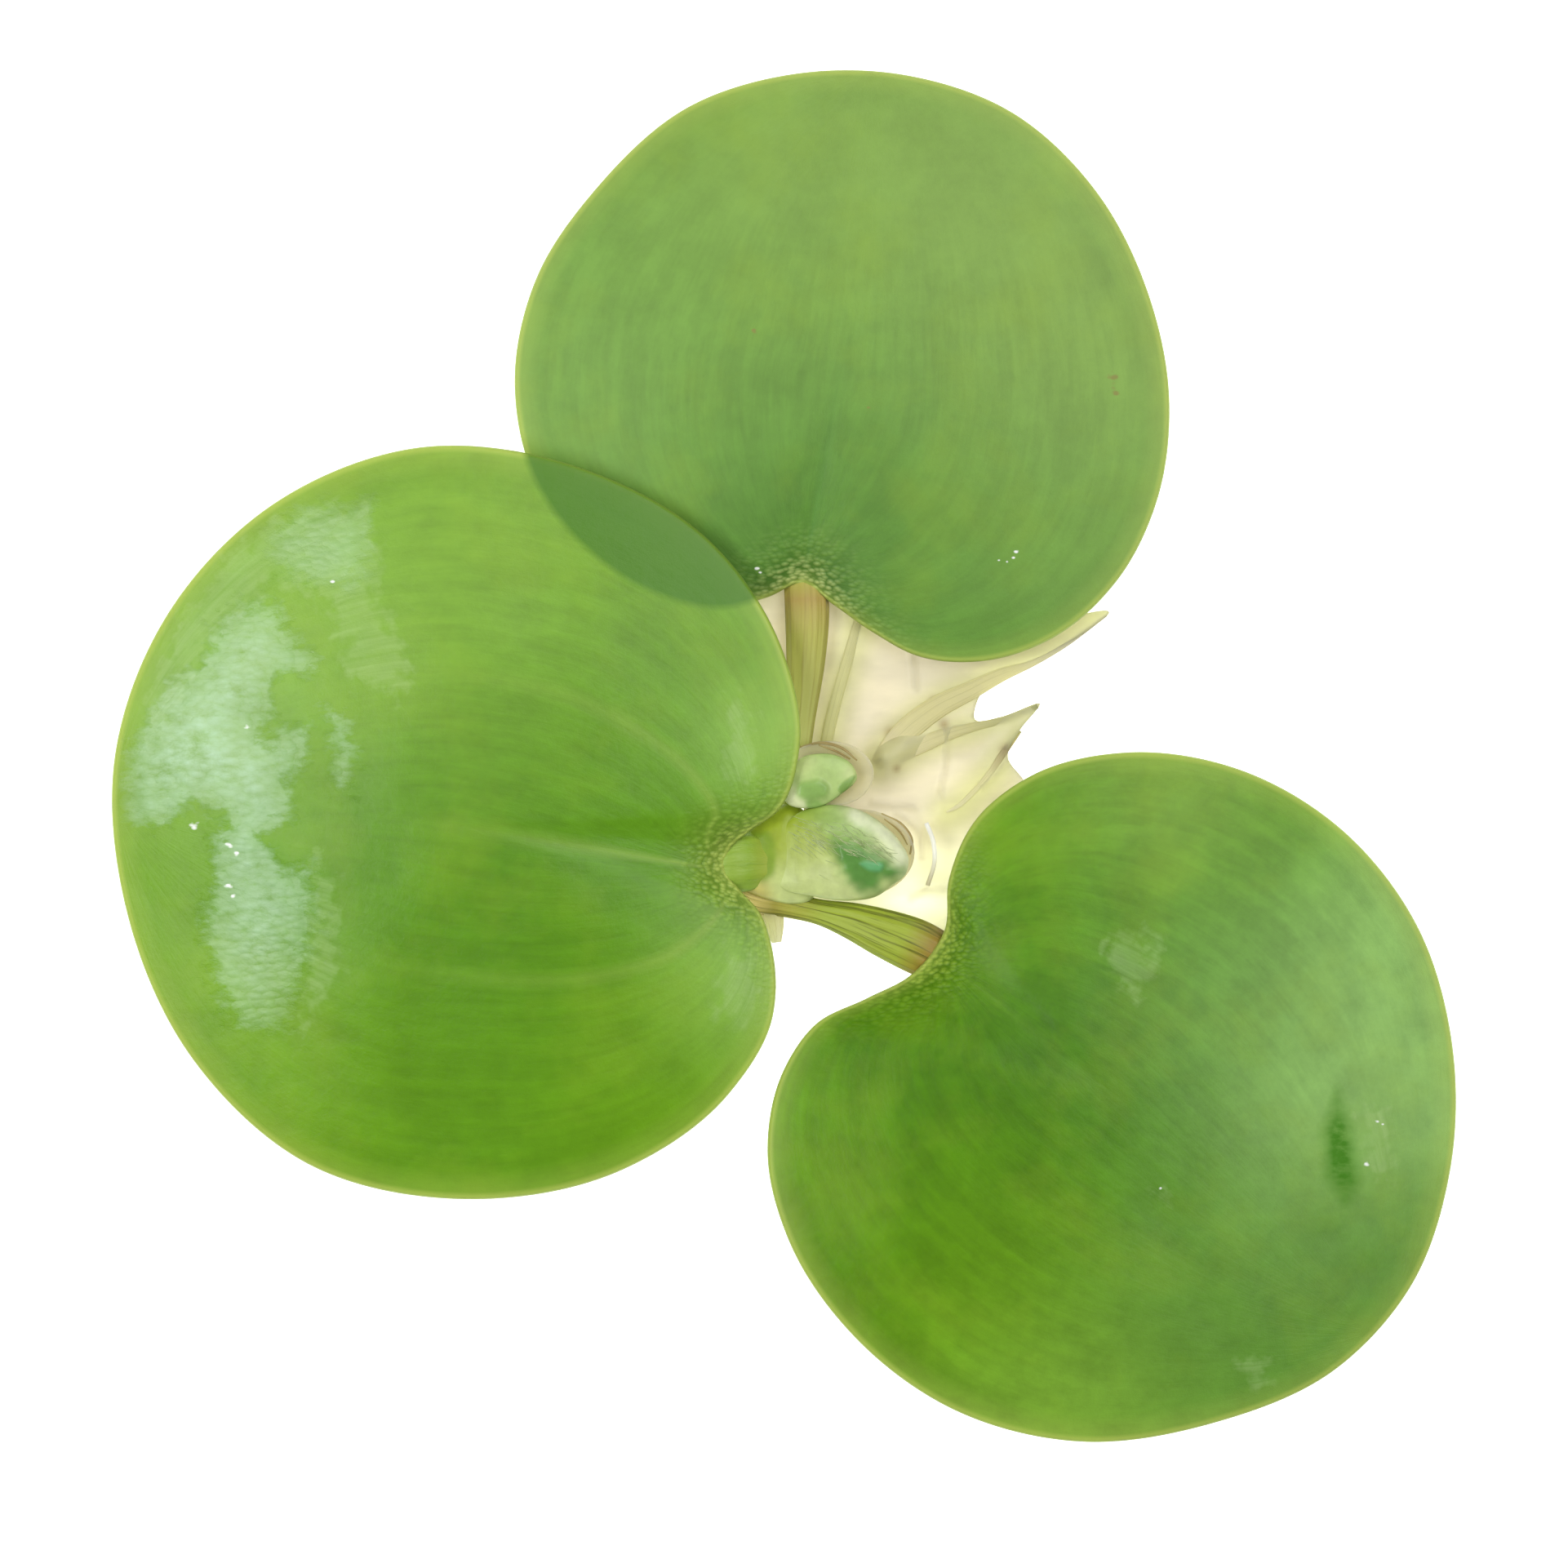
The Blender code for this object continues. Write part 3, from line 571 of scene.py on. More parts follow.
def fleshy_stalk(name, streak, amount, edge, through_share):
    """Soft stalk tissue: its colour is kept on the mesh, brown streaks run its length, amount of them at
    most, and edge is how much painted shade, in the streaks' colour, darkens the two sides against the
    middle."""
    material, tree, spot, tint = tissue(name)
    stalk_at = add(tree, "Attribute", attribute_name="stalk").outputs["Vector"]
    run = add(tree, "VectorMath", {0: stalk_at, 1: (2.2, 6.0, 6.0)}, operation="MULTIPLY").outputs[0]
    lines = add(tree, "TexNoise", {"Vector": run, "Scale": 1.0, "Detail": 4.0, "Roughness": 0.6}).outputs[0]
    streaks = add(tree, "MapRange", {0: lines, 1: 0.5, 2: 0.66, 3: 0.0, 4: amount}).outputs[0]
    colour = add(tree, "Mix", {0: streaks, 6: tint, 7: linear(streak)}, data_type="RGBA").outputs[2]
    # Painted shade: the two sides are darkened towards the streaks' colour.
    across = add(tree, "SeparateXYZ", {0: stalk_at}).outputs[1]
    across = add(tree, "Math", {0: across}, operation="ABSOLUTE").outputs[0]
    sides = add(tree, "MapRange", {0: across, 1: 0.7, 2: 1.0, 3: 0.0, 4: edge}).outputs[0]
    colour = add(tree, "Mix", {0: sides, 6: colour, 7: linear(streak)}, data_type="RGBA").outputs[2]
    grain = add(tree, "TexNoise", {"Vector": spot, "Scale": 4000.0, "Detail": 3.0}).outputs[0]
    relief = add(tree, "Math", {0: grain, 1: 0.4, 2: lines}, operation="MULTIPLY_ADD").outputs[0]
    bump = add(tree, "Bump", {"Height": relief, "Strength": 0.6, "Distance": 0.00006}).outputs[0]
    finish_tissue(tree, colour, 0.4, bump, 1.38, through_share)
    return material


STALK = fleshy_stalk("fleshy leaf stalk", "#94803c", 0.4, 0.3, 0.2)
RIBBED_STALK = fleshy_stalk("ribbed leaf stalk", "#4d5212", 0.85, 0.1, 0.15)
COLLAR = fleshy_stalk("pale leaf collar", "#6f9330", 0.3, 0.2, 0.15)
stalk(
    "petiole_left",
    [(0.4, 0.2, 0.9, 0.6), (-0.4, 0.15, 1.08, 0.9), (-1.0, 0.15, 1.2, 1.12), (-1.6, 0.1, 1.3, 1.1),
     (-2.8, -0.1, 1.2, 0.7)],
    0.68, 9, 0.03,
    [(0.0, "#a5b345"), (0.22, "#a0b042"), (0.5, "#8bab34"), (0.65, "#93b045"), (1.0, "#8fae3e")],
    COLLAR, ["petiole_left"], sides=44,
)
stalk(
    "petiole_top",
    [(0.4, 1.2, 0.65, 0.36), (0.7, 3.0, 0.65, 0.4), (0.95, 5.4, 0.7, 0.5), (1.1, 7.5, 0.75, 0.7),
     (1.15, 9.3, 0.75, 0.8), (1.1, 10.5, 0.5, 0.8)],
    0.6, 11, 0.04,
    [(0.0, "#d2d892"), (0.4, "#c8cc70"), (0.7, "#bebd5e"), (0.88, "#b49d54"), (1.0, "#b3b050")],
    STALK, ["petiole_top"], sides=44,
)
stalk(
    "petiole_right",
    [(-1.5, -0.85, 0.8, 0.35), (-0.95, -1.15, 0.75, 0.5), (0.4, -1.45, 0.78, 0.45), (1.6, -1.72, 0.9, 0.45),
     (2.8, -2.05, 1.15, 0.65), (4.0, -2.5, 1.35, 0.85), (5.1, -2.95, 1.4, 0.95), (6.2, -3.5, 1.15, 0.9)],
    0.55, 12, 0.05,
    [(0.0, "#f0e090"), (0.17, "#e2cf7e"), (0.24, "#a39a40"), (0.45, "#a0b03a"), (0.8, "#a0b03a"),
     (0.93, "#9a8036"),
     (1.0, "#8ea634")],
    RIBBED_STALK, ["petiole_right"], sides=52,
)

# The roots
# Pale strands, a little flattened, that lie on the film and have nearly its colour. The long one
# is a broad band at the crown and thins to a thread.

ROOT = fleshy_stalk("pale root strand", "#c4c08a", 0.35, 0.0, 0.55)
ROOTS = {
    "root_upper": [
        (1.5, 1.9, 0.55, 0.18), (1.7, 3.2, 0.6, 0.18), (1.9, 4.7, 0.6, 0.22), (2.2, 6.0, 0.6, 0.22),
        (2.65, 7.6, 0.55, 0.2), (3.1, 9.2, 0.4, 0.15), (3.7, 11.0, 0.2, 0.06),
    ],
    "root_long": [
        (3.7, 3.7, 0.55, 0.2), (4.1, 4.2, 0.58, 0.36), (4.8, 4.95, 0.6, 0.45), (5.9, 5.8, 0.6, 0.42),
        (7.2, 6.45, 0.58, 0.34), (8.3, 7.0, 0.62, 0.25), (9.5, 7.45, 0.55, 0.12), (10.6, 8.05, 0.5, 0.08),
        (12.2, 9.2, 0.45, 0.04),
    ],
    "root_short": [
        (4.4, 3.9, 0.5, 0.22), (5.3, 4.4, 0.52, 0.3), (6.4, 4.85, 0.55, 0.24), (7.4, 5.12, 0.58, 0.16),
        (8.7, 5.4, 0.58, 0.11), (9.65, 5.85, 0.55, 0.09),
    ],
    "root_low": [
        (6.3, 1.95, 0.55, 0.04), (6.7, 2.15, 0.55, 0.08), (7.2, 2.6, 0.55, 0.1), (7.9, 3.4, 0.56, 0.11),
        (8.4, 4.15, 0.58, 0.13), (9.0, 4.95, 0.58, 0.08),
    ],
}
ROOT_COLOURS = {
    "root_upper": [(0.0, "#eceab4"), (0.5, "#ecebb8"), (1.0, "#eeeac4")],
    "root_long": [(0.0, "#f8f2d0"), (0.35, "#f2edc0"), (0.65, "#eae6bc"), (1.0, "#cbc9ba")],
    "root_short": [(0.0, "#f8f2d0"), (0.55, "#ebe7b8"), (1.0, "#ccce9c")],
    "root_low": [(0.0, "#fbf8e0"), (0.6, "#f6f2cc"), (0.82, "#cfc294"), (1.0, "#cfcd9c")],
}
for root_name, root_route in ROOTS.items():
    stalk(
        root_name, root_route, 0.22, 5, 0.04, ROOT_COLOURS[root_name], ROOT, [root_name],
        sides=24, samples=8,
    )
STUB = fleshy_stalk("cut stolon", "#c0b276", 0.35, 0.2, 0.3)
stalk(
    "stolon_stub",
    [(-0.25, -1.45, 0.55, 0.5), (-0.05, -2.05, 0.45, 0.38), (0.0, -2.45, 0.42, 0.3),
     (0.05, -2.85, 0.4, 0.18)],
    0.8, 7, 0.04, [(0.0, "#d8cd92"), (0.4, "#eeecb8"), (1.0, "#f4f2cf")], STUB, ["stolon_stub"],
    sides=20, samples=6,
)

# The root film
# A mat of fine root hairs, wet and pressed into one thin cream film between the roots, drawn out
# to two tips, folded in places, and stained brown in spots.

FILM_MARGIN = [
    (0.0, 6.2), (-0.3, 8.0), (-0.7, 9.8), (1.0, 10.4), (3.2, 9.2), (5.5, 9.0), (9.0, 8.8), (12.3, 9.3),
    (10.4, 7.95), (8.6, 7.05), (7.5, 6.2), (7.35, 5.35), (8.3, 5.45), (9.75, 5.95), (8.95, 4.9),
    (8.55, 4.0), (9.2, 3.0), (7.6, 1.2), (6.6, -1.4), (6.2, -2.9), (4.6, -2.4), (3.0, -1.8), (1.5, -1.5),
    (1.3, -0.3), (1.2, 1.2), (0.8, 3.2),
]
FILM_FOLDS = [
    [(5.0, 7.9), (5.1, 7.2), (5.2, 6.5)], [(6.3, 5.0), (6.25, 3.8), (6.1, 2.6)], [(3.6, 2.3), (4.4, 2.2),
     (5.1, 2.1)],
    [(4.5, 1.9), (5.3, 1.2), (5.4, 0.3)], [(5.0, -1.2), (5.6, -0.9), (6.2, -0.9)], [(7.6, 2.9),
     (8.6, 3.9), (9.2, 4.6)],
]
FILM_THICKNESS = 0.05
ROOT_REACH = 0.7
FILM_STAINS = [
    (4.46, 3.57, 0.14), (4.25, 4.85, 0.22), (6.2, 5.18, 0.18), (8.45, 4.25, 0.22), (5.8, 6.05, 0.15),
]


def spread(outline, step, height):
    """A sheet over an outline: a square grid of points, those near the outline moved on to it, and each
    square kept whose four corners lie inside. The height is a function of the place."""
    outline = smooth_line(outline, 10)
    low, high = outline.min(0) - step, outline.max(0) + step
    x, y = np.meshgrid(np.arange(low[0], high[0], step), np.arange(low[1], high[1], step))
    depth = edge_distance(x, y, outline)
    a, b = outline, np.roll(outline, -1, axis=0)
    flat = np.stack([x.ravel(), y.ravel()], axis=-1)
    moved = np.abs(depth.ravel()) < step * 0.72
    near = flat[moved]
    run = b - a
    share = np.clip(np.sum((near[:, None] - a) * run, -1) / np.sum(run * run, -1), 0, 1)
    foot = a + share[..., None] * run
    nearest = np.argmin(np.linalg.norm(near[:, None] - foot, axis=-1), axis=1)
    flat[moved] = foot[np.arange(len(near)), nearest]
    inside = (depth.ravel() < 0) | moved
    index = np.arange(len(flat)).reshape(x.shape)
    quads = np.stack([index[:-1, :-1], index[:-1, 1:], index[1:, 1:], index[1:, :-1]], -1).reshape(-1, 4)
    quads = quads[inside[quads].all(1)]
    corners = flat[quads]
    cut = corners - corners.mean(1, keepdims=True)
    following = np.roll(cut, -1, axis=1)
    area = np.sum(cut[:, :, 0] * following[:, :, 1] - cut[:, :, 1] * following[:, :, 0], axis=1)
    quads = quads[area > step * step * 0.15]
    used, quads = np.unique(quads, return_inverse=True)
    flat = flat[used]
    return np.column_stack([flat, height(flat[:, 0], flat[:, 1])]), quads.reshape(-1, 4)


def line_distance(x, y, line):
    """Distance in mm from each point to an open line."""
    return np.min([
        np.hypot(x - px, y - py) for px, py in smooth_line([point[:2] for point in line], 8, closed=False)
    ], axis=0)


def film_height(x, y):
    """Low waves, with a rounded ridge along each fold and a swelling under each root."""
    height = 0.13 + 0.04 * np.sin(x * 1.3 + y * 2.1) + 0.03 * np.sin(x * 2.9 - y * 1.1)
    for fold in FILM_FOLDS:
        height = height + 0.12 * np.exp(-((line_distance(x, y, fold) / 0.12) ** 2))
    for route in ROOTS.values():
        height = height + 0.36 * np.exp(-((line_distance(x, y, route) / ROOT_REACH) ** 2))
    return height


def milky_film(name, rough, through_share):
    """Thin wet tissue: milky, half seen through, its colour kept on the mesh, with soft long folds."""
    material, tree, spot, tint = tissue(name)
    turned = add(
        tree, "Mapping", {"Vector": spot, "Rotation": (0, 0, -0.75), "Scale": (0.3, 1.0, 1.0)}
    ).outputs[0]
    folds = add(
        tree, "TexNoise", {"Vector": turned, "Scale": 900.0, "Detail": 4.0, "Roughness": 0.55}
    ).outputs[0]
    level = add(tree, "MapRange", {0: folds, 1: 0.35, 2: 0.65, 3: 0.93, 4: 1.05}).outputs[0]
    colour = add(tree, "VectorMath", {0: tint, 3: level}, operation="SCALE").outputs[0]
    bump = add(tree, "Bump", {"Height": folds, "Strength": 0.5, "Distance": 0.00012}).outputs[0]
    finish_tissue(tree, colour, rough, bump, 1.36, through_share)
    return material


def sheet_piece(name, points, faces, thickness, material, nodes):
    """A thin sheet through the points, given half its thickness on each side."""
    mesh = bpy.data.meshes.new(name)
    mesh.from_pydata((points * MM).tolist(), [], faces.tolist())
    mesh.shade_smooth()
    piece = place(name, mesh, material, nodes)
    wall = piece.modifiers.new("wall", "SOLIDIFY")
    wall.thickness = thickness * MM
    wall.offset = 0.0
    return piece


def keep_tint(piece, colours):
    """Keeps one colour for each point of a sheet."""
    kept = piece.data.attributes.new("tint", "FLOAT_VECTOR", "POINT")
    kept.data.foreach_set("vector", np.array(colours, np.float32).ravel())


def film_tint(x, y):
    """Cream, olive near the roots and folds, with painted light at the lower end, and brown in the stains."""
    to_root = np.min([line_distance(x, y, route) for route in ROOTS.values()], axis=0)
    mix = np.exp(-((to_root / ROOT_REACH) ** 2))
    fold = np.exp(-((np.min([line_distance(x, y, line) for line in FILM_FOLDS], axis=0) / 0.1) ** 2))
    # Painted light: the film is lightened towards its lower end.
    light = np.clip((2.2 - y) / 2.6, 0, 1)
    stain = np.max([
        np.exp(-(((x - sx) / r) ** 2 + ((y - sy) / r) ** 2)) for sx, sy, r in FILM_STAINS
    ], axis=0)
    tint = np.zeros(np.shape(x) + (3,)) + np.array(linear("#e8e3d2")[:3])
    layers = (light, "#fdfcea"), (mix * 0.8, "#dedeb2"), (fold * 0.25, "#d2ccac"), (stain * 0.6, "#b09c74")
    for amount, code in layers:
        tint = tint + (np.array(linear(code)[:3]) - tint) * amount[..., None]
    return tint


FILM = milky_film("wet root hair film", 0.3, 0.6)
film_points, film_faces = spread(FILM_MARGIN, 0.1, film_height)
film_sheet = sheet_piece(
    "root_film", film_points, film_faces, FILM_THICKNESS, FILM, ["root_film"]
)
keep_tint(film_sheet, film_tint(film_points[:, 0], film_points[:, 1]))

# The crown
# The short squat stem that every stalk and root grows from, yellow-green and soft, with a painted shadow
# where it passes under the left leaf's collar.


def soft_tissue(name, rough, through_share):
    """Young tissue, pale and moist: its colour is kept on the mesh, broken by fine grain."""
    material, tree, spot, tint = tissue(name)
    grain = add(tree, "TexNoise", {"Vector": spot, "Scale": 2200.0, "Detail": 4.0}).outputs[0]
    level = add(tree, "MapRange", {0: grain, 1: 0.3, 2: 0.7, 3: 0.9, 4: 1.1}).outputs[0]
    colour = add(tree, "VectorMath", {0: tint, 3: level}, operation="SCALE").outputs[0]
    bump = add(tree, "Bump", {"Height": grain, "Strength": 0.4, "Distance": 0.00007}).outputs[0]
    finish_tissue(tree, colour, rough, bump, 1.38, through_share)
    return material


WEDGE_THIN = 0.1
WEDGE_SINK = 0.3


def mound(
    name, outline, low, high, puff, spots, marks, material, nodes, rings=60, samples=14, wedge=None
):
    """A soft lump over an outline: its upper face rises as a superellipse of the share from the middle to the
    outline, to the power puff, and its lower face falls in the same way. A wedge is a pair of x places
    between which the lump thins and sinks to the left. Each mark is an outline, a colour, the width of its
    soft edge, how far it stands up, and how strong its colour is."""
    edge = smooth_line(outline, samples)
    middle = edge.mean(0)
    share = np.sin(np.linspace(0, np.pi, rings + 2)[1:-1])[:, None]
    lift = np.cos(np.linspace(0, np.pi, rings + 2)[1:-1])[:, None]
    ground = middle + (edge - middle)[None] * share[..., None]
    x, y = ground[..., 0], ground[..., 1]
    full = np.interp(x, wedge, (WEDGE_THIN, 1.0)) if wedge else np.ones_like(x)
    swell = np.sign(lift) * np.abs(lift) ** puff
    height = (low + high) / 2 - WEDGE_SINK * (1 - full) + full * (high - low) / 2 * swell
    tint = patches(x, y, spots, YOUNG_COLOURS)
    middle_tint = patches(np.array(middle[0]), np.array(middle[1]), spots, YOUNG_COLOURS)
    waver = 0.05 * np.sin(x * 9 + y * 5) + 0.04 * np.sin(y * 13 - x * 7)
    for mark, colour, soft, rise, strong in marks:
        inside = np.clip(0.5 - (edge_distance(x, y, smooth_line(mark, 6)) + waver * soft) / soft, 0, 1)
        inside = inside**2 * (3 - 2 * inside)
        height = height + rise * inside * (lift > 0) * np.minimum(1, np.abs(lift) * 3)
        tint = tint + (np.array(linear(YOUNG_COLOURS[colour])[:3]) - tint) * (inside * strong)[..., None]
    rounded = np.concatenate([ground, height[..., None]], axis=-1)
    piece = skin(name, rounded, (*middle, np.mean(height[0])), (*middle, low), material, nodes)
    store(piece, "tint", tint, np.mean(tint[0], axis=0), middle_tint)
    return piece


# Colours for the young tissue. The teal one is a painted highlight and shade is a painted shadow; white is
# the hairs' own colour and is also used for a painted glint on the bud.
YOUNG_COLOURS = {
    "crown": "#9bb026", "lime": "#b4c356", "pale": "#d3df98", "white": "#e4ebb8",
    "green": "#74a045", "dark": "#5b9440", "teal_highlight": "#6db377", "brown": "#d2c472",
    "fan": "#b6cf80", "core": "#8fb55e", "shade": "#7fa02c", "bright": "#eef3cf",
}
CENTRE_SPOTS = [
    (0.2, 1.0, 0.8, "crown"), (0.9, 0.6, 0.75, "lime"), (1.8, -0.7, 0.8, "pale"), (0.3, -0.5, 0.5, "pale"),
    (-0.7, -1.0, 0.35, "brown"), (2.6, 1.5, 0.6, "fan"), (4.3, 0.9, 0.4, "white"), (3.6, -1.0, 0.3, "pale"),
    (2.9, 2.0, 0.3, "white"), (0.6, 1.9, 0.5, "crown"),
]
YOUNG = soft_tissue("moist young tissue", 0.3, 0.25)
mound(
    "crown",
    [(-1.3, -0.8), (-0.4, -1.25), (1.3, -1.3), (1.8, 0.2), (1.4, 1.6), (0.5, 2.3), (-0.3, 1.9),
     (-1.1, 1.25), (-1.5, 0.2)],
    0.0, 1.66, 0.7,
    CENTRE_SPOTS,
    # A painted shadow: the darker band that passes under the left leaf's collar.
    [([(-0.85, 1.2), (-0.35, 1.25), (-0.3, -0.55), (-0.8, -0.6)], "shade", 0.3, 0.0, 0.8)],
    YOUNG, ["crown"],
)

# The young leaf
# The newest leaf, still rolled: a pale white-green sheath that holds a dark blade, bent at the
# tip. Fine white hairs lie over it.

rolled_leaf = mound(
    "young_leaf",
    [(0.0, 0.3), (0.1, -0.7), (1.4, -1.15), (2.8, -1.3), (3.7, -1.15), (4.3, -0.75), (4.8, -0.3),
     (4.9, 0.2), (4.55, 0.9), (3.9, 1.55), (2.9, 2.1), (1.7, 2.2), (0.8, 1.9), (0.2, 1.2)],
    0.95, 2.45, 0.9,
    CENTRE_SPOTS,
    [
        ([(0.7, 2.2), (1.8, 1.0), (2.5, 0.2), (3.2, -0.2), (4.2, 0.2), (3.6, 0.9), (2.7, 1.6), (1.6, 2.25)],
         "core", 0.9, 0.06, 0.45),
        ([(2.2, 0.9), (2.9, 0.8), (3.6, 0.5), (4.2, 0.1), (4.75, -0.28), (4.4, -0.5), (3.9, -0.6),
          (3.75, -0.9),
          (3.3, -1.0), (2.8, -0.7), (2.4, -0.1)], "dark", 0.75, 0.12, 0.95),
        # A painted teal highlight on the dark blade.
        ([(3.1, 0.05), (3.5, 0.15), (3.95, 0.0), (3.9, -0.2), (3.4, -0.15)], "teal_highlight", 0.2, 0.04, 0.9),
        ([(2.8, 2.1), (3.8, 1.6), (4.6, 0.8), (4.9, 0.2), (4.6, 0.1), (4.3, 0.6), (3.6, 1.2), (2.7, 1.8)],
         "bright", 0.45, 0.03, 0.8),
    ],
    YOUNG, ["young_leaf"], rings=110, samples=18, wedge=(-0.3, 2.4),
)


HAIR_RADIUS = 0.01


def fine_hairs(name, count, band, lengths, under, material, nodes):
    """Three-sided hairs, each a thin cone along the surface of the piece under it. The root lies at random in
    a band of (x, y, half width), the hair runs down to the right, and it is as high as the nearest point."""
    luck = np.random.default_rng(7)
    line = smooth_line(band, 20, closed=False)
    at = line[(luck.random(count) * (len(line) - 1)).astype(int)]
    root = at[:, :2] + np.stack([luck.normal(0, 0.1, count), luck.normal(0, 1, count) * at[:, 2]], -1)
    turn = luck.normal(-0.45, 0.2, count)
    long = lengths[0] + (lengths[1] - lengths[0]) * luck.random(count)
    ahead = np.stack([np.cos(turn), np.sin(turn)], -1)
    skin_points = np.empty(len(under.data.vertices) * 3)
    under.data.vertices.foreach_get("co", skin_points)
    skin_points = skin_points.reshape(-1, 3) / MM
    skin_points = skin_points[skin_points[:, 2] > np.median(skin_points[:, 2])]
    spine = []
    for share, above in ((0.0, 0.0), (0.5, 0.025), (1.0, 0.03)):
        foot = root + ahead * (long * share)[:, None]
        nearest = [np.argmin(np.sum((skin_points[:, :2] - point) ** 2, -1)) for point in foot]
        spine.append(np.column_stack([foot, skin_points[nearest, 2] + above]))
    corner = np.arange(3) * 2 * np.pi / 3
    side = np.stack([-ahead[:, 1], ahead[:, 0]], -1)[:, None] * np.cos(corner)[None, :, None]
    ring = np.concatenate([side, np.tile(np.sin(corner)[None, :, None], (count, 1, 1))], -1) * HAIR_RADIUS
    points = np.concatenate([spine[0][:, None] + ring, spine[1][:, None] + ring, spine[2][:, None]], axis=1)
    first = (np.arange(count) * 7)[:, None]
    quads = np.concatenate([first + np.array(face) for face in ([0, 1, 4, 3], [1, 2, 5, 4], [2, 0, 3, 5])])
    fans = np.concatenate([first + np.array(face) for face in ([3, 4, 6], [4, 5, 6], [5, 3, 6], [2, 1, 0])])
    mesh = bpy.data.meshes.new(name)
    mesh.from_pydata((points.reshape(-1, 3) * MM).tolist(), [], quads.tolist() + fans.tolist())
    mesh.shade_smooth()
    return place(name, mesh, material, nodes)


def pale_hair(name):
    """Clear white hairs, wet and shiny."""
    material = bpy.data.materials.new(name)
    material.use_nodes = True
    shader = material.node_tree.nodes["Principled BSDF"]
    shader.inputs["Base Color"].default_value = linear("#c3d199")
    shader.inputs["Roughness"].default_value = 0.25
    return material


HAIR = pale_hair("wet white hair")
fine_hairs(
    "young_leaf_hairs", 120,
    [(0.6, 1.1, 0.35), (1.6, 0.95, 0.4), (2.4, 1.0, 0.35), (3.2, 0.9, 0.25), (3.9, 0.6, 0.18)],
    (0.35, 0.9), rolled_leaf, HAIR, ["young_leaf"],
)

# The leaf bud
# The next leaf, a flat fan of pale see-through tissue round a green middle.

mound(
    "leaf_bud",
    [(0.4, 2.3), (0.55, 3.3), (0.95, 3.95), (1.55, 4.1), (2.2, 4.05), (2.85, 3.65), (3.0, 3.25), (2.4, 2.6),
     (1.4, 2.1)],
    1.4, 2.05, 0.5,
    # The small white patch at the lower left is a painted glint; the others are the bud's own colours.
    [(2.0, 3.5, 0.7, "fan"), (0.7, 2.4, 0.25, "white"), (1.0, 3.8, 0.3, "pale"), (2.8, 3.4, 0.2, "pale")],
    [
        ([(0.8, 2.55), (0.85, 2.95), (1.3, 3.1), (1.9, 2.95), (1.9, 2.6),
          (1.4, 2.4)], "core", 0.3, 0.1, 0.95),
        ([(1.1, 2.3), (1.2, 2.0), (1.8, 2.1), (1.6, 2.4)], "core", 0.25, 0.0, 0.9),
        ([(2.4, 2.65), (2.9, 3.15), (2.95, 3.25), (2.3, 2.75)], "green", 0.12, 0.05, 0.7),
    ],
    YOUNG, ["leaf_bud"],
)

# The papery scales
# Milky scales that wrapped the young leaves: two saucers 0.07 mm thick with brown dried rims, and
# a strip 0.16 mm thick that stands on edge beside the young leaf.


SCALE_RINGS = 22
SCALE_SPOKES = 56
SCALE_THICKNESS = 0.07
OUTER_THICKNESS = 0.16


def spoon(name, middle, reach, low, rim, material, nodes):
    """An oval saucer, whose height rises with the square of the share from its middle to its rim."""
    share = np.linspace(0.08, 1.0, SCALE_RINGS)[:, None]
    turn = (np.arange(SCALE_SPOKES) / SCALE_SPOKES * 2 * np.pi)[None]
    x = middle[0] + reach[0] * share * np.cos(turn)
    y = middle[1] + reach[1] * share * np.sin(turn)
    z = low + (rim - low) * share**2 + 0.06 * np.sin(3 * turn) * share**6
    points = np.stack([x, y, z + 0 * x], -1).reshape(-1, 3)
    index = np.arange(SCALE_RINGS * SCALE_SPOKES).reshape(SCALE_RINGS, SCALE_SPOKES)
    after = np.roll(index, -1, axis=1)
    quads = np.stack([index[:-1], after[:-1], after[1:], index[1:]], -1).reshape(-1, 4)
    sheet = sheet_piece(name, points, quads, SCALE_THICKNESS, material, nodes)
    keep_tint(sheet, np.tile(linear("#f2eed8")[:3], (len(points), 1)))
    return sheet


SCALE = milky_film("clear papery scale", 0.3, 0.75)
spoon("stipule_bud", (1.95, 3.35), (1.65, 1.2), 1.0, 1.55, SCALE, ["stipule_bud"])
spoon("stipule_inner", (2.95, 0.45), (2.15, 1.6), 0.72, 1.36, SCALE, ["stipule_inner"])
arc = smooth_line([(5.55, 1.55), (5.8, 0.9), (5.85, 0.1), (5.6, -0.75)], 8, closed=False)
arc_points = np.concatenate([np.column_stack([arc, np.full(len(arc), z)]) for z in (0.45, 0.8, 1.15)])
arc_index = np.arange(len(arc_points)).reshape(3, -1)
arc_quads = np.stack([arc_index[:-1, :-1], arc_index[:-1, 1:], arc_index[1:, 1:], arc_index[1:, :-1]], -1)
outer = sheet_piece(
    "stipule_outer", arc_points, arc_quads.reshape(-1, 4), OUTER_THICKNESS, SCALE,
    ["stipule_outer"],
)
# Painted highlight: the strip is white towards its upper end, a glint along its edge, and cream below.
fade = np.clip(0.4 - arc_points[:, 1], 0, 1)
keep_tint(outer, tint_along(fade, [(0.0, "#ffffff"), (1.0, "#e4dfc8")]))

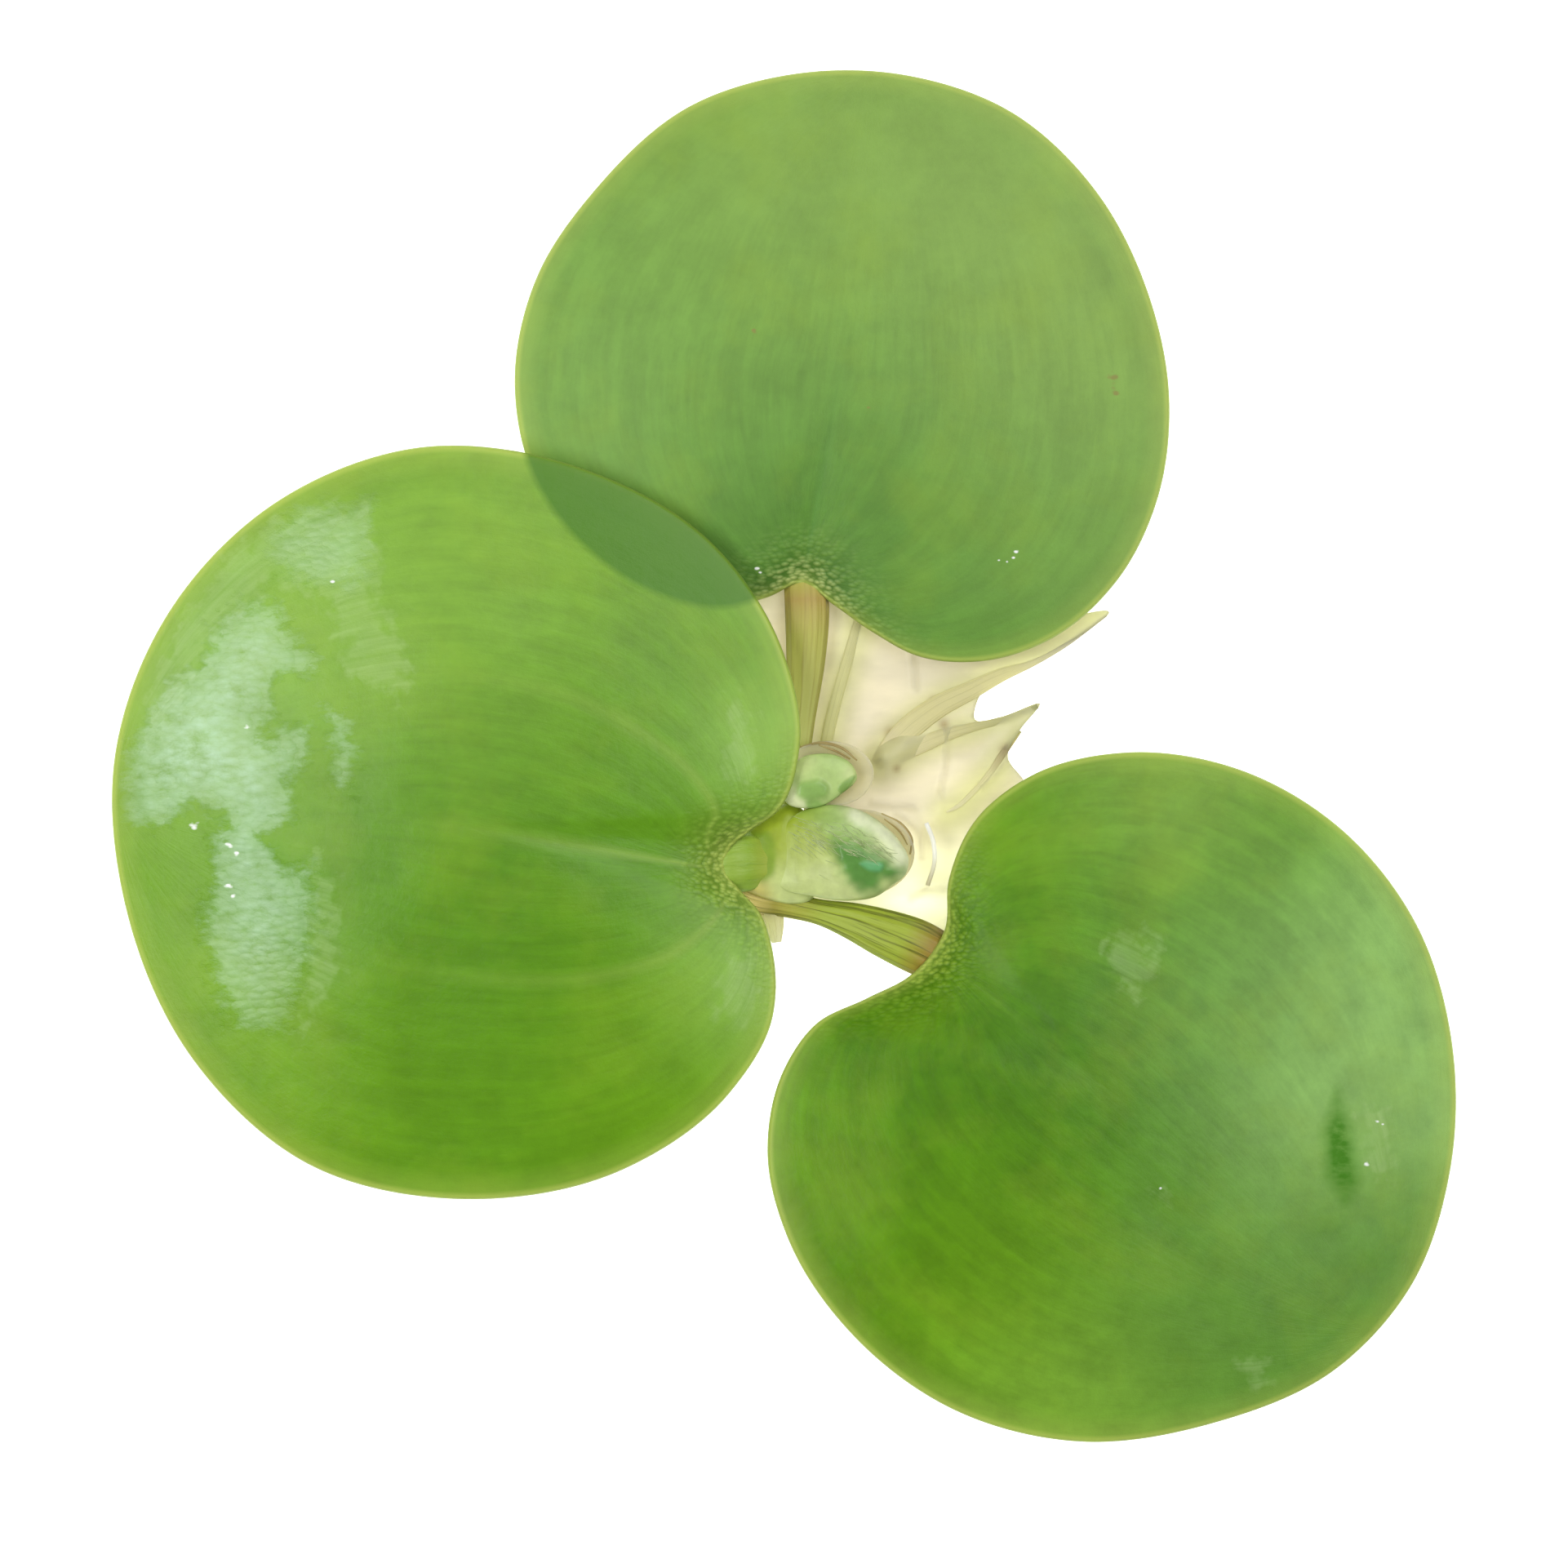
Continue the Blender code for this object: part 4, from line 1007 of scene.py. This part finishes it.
BROWN_RIM = fleshy_stalk("dried brown rim", "#b39c66", 0.5, 0.0, 0.3)
RIM_LINES = {
    "stipule_bud": [
        [(0.9, 4.35, 1.5, 0.03), (1.68, 4.5, 1.55, 0.05), (2.48, 4.28, 1.6, 0.05), (3.0, 3.85, 1.6, 0.03)],
        [(1.6, 4.42, 1.5, 0.03), (2.3, 4.15, 1.5, 0.04), (2.75, 3.9, 1.5, 0.03)],
    ],
    "stipule_inner": [
        [(3.9, 1.9, 1.36, 0.03), (4.7, 1.45, 1.36, 0.05), (5.02, 0.9, 1.36, 0.05), (4.95, 0.4, 1.36, 0.03)],
        [(4.0, 1.7, 1.4, 0.02), (4.6, 1.2, 1.42, 0.035), (4.85, 0.75, 1.42, 0.02)],
    ],
}
for scale_name, rim_routes in RIM_LINES.items():
    for number, rim_route in enumerate(rim_routes):
        stalk(
            f"{scale_name}_rim_{number + 1}", rim_route, 0.8, 3, 0.0,
            [(0.0, "#d3c489"), (0.5, "#b9a36a"), (1.0, "#c8b880")],
            BROWN_RIM, [scale_name], sides=10, samples=6,
        )

# The surface, the lights and the camera
# A plain white lit table, a small window-like softbox close by on the left, a broad one on the
# right, and a camera that looks straight down.

FRAME_WIDTH = 57.63
LENS = 300.0
SENSOR = 36.0
LEAF_TOPS = 1.5
VIEW_X, VIEW_Y = 0.315, 2.985
TABLE_REACH = 2.0
TABLE_DROP = 0.1
table = bpy.data.meshes.new("table")
corners = [
    (across * TABLE_REACH, up * TABLE_REACH, -TABLE_DROP * MM)
    for across, up in ((-1, -1), (1, -1), (1, 1), (-1, 1))
]
table.from_pydata(corners, [], [(0, 1, 2, 3)])
surface = bpy.data.objects.new("table", table)
bpy.context.scene.collection.objects.link(surface)
white = bpy.data.materials.new("white table")
white.use_nodes = True
paint = white.node_tree.nodes["Principled BSDF"]
paint.inputs["Base Color"].default_value = linear("#f4f4f2")
paint.inputs["Roughness"].default_value = 0.9
paint.inputs["Specular IOR Level"].default_value = 0.0
paint.inputs["Emission Color"].default_value = linear("#ffffff")
paint.inputs["Emission Strength"].default_value = 1.0
table.materials.append(white)


def softbox(name, place_at, across, deep, power):
    """A soft rectangular light that faces the crown: across runs round the crown, deep towards the zenith."""
    data = bpy.data.lights.new(name, "AREA")
    data.shape = "RECTANGLE"
    data.size, data.size_y = across, deep
    data.energy = power
    lamp = bpy.data.objects.new(name, data)
    lamp.location = place_at
    lamp.rotation_euler = Vector(place_at).to_track_quat("Z", "Y").to_euler()
    bpy.context.scene.collection.objects.link(lamp)


softbox("window", (-0.0745, 0.0, 0.11), 0.1, 0.05, 0.11)
softbox("studio softbox", (0.17, 0.1, 0.4), 0.5, 0.26, 1.6)

world = bpy.data.worlds.new("studio")
bpy.context.scene.world = world
world.use_nodes = True
world.node_tree.nodes["Background"].inputs["Color"].default_value = linear("#ffffff")
world.node_tree.nodes["Background"].inputs["Strength"].default_value = 0.15
bpy.context.scene.view_settings.view_transform = "Standard"

lens = bpy.data.cameras.new("camera")
lens.lens = LENS
lens.sensor_width = SENSOR
lens.clip_start, lens.clip_end = 0.01, 10.0
camera = bpy.data.objects.new("camera", lens)
camera.location = (VIEW_X * MM, VIEW_Y * MM, (LENS / SENSOR * FRAME_WIDTH + LEAF_TOPS) * MM)
bpy.context.scene.collection.objects.link(camera)
bpy.context.scene.camera = camera
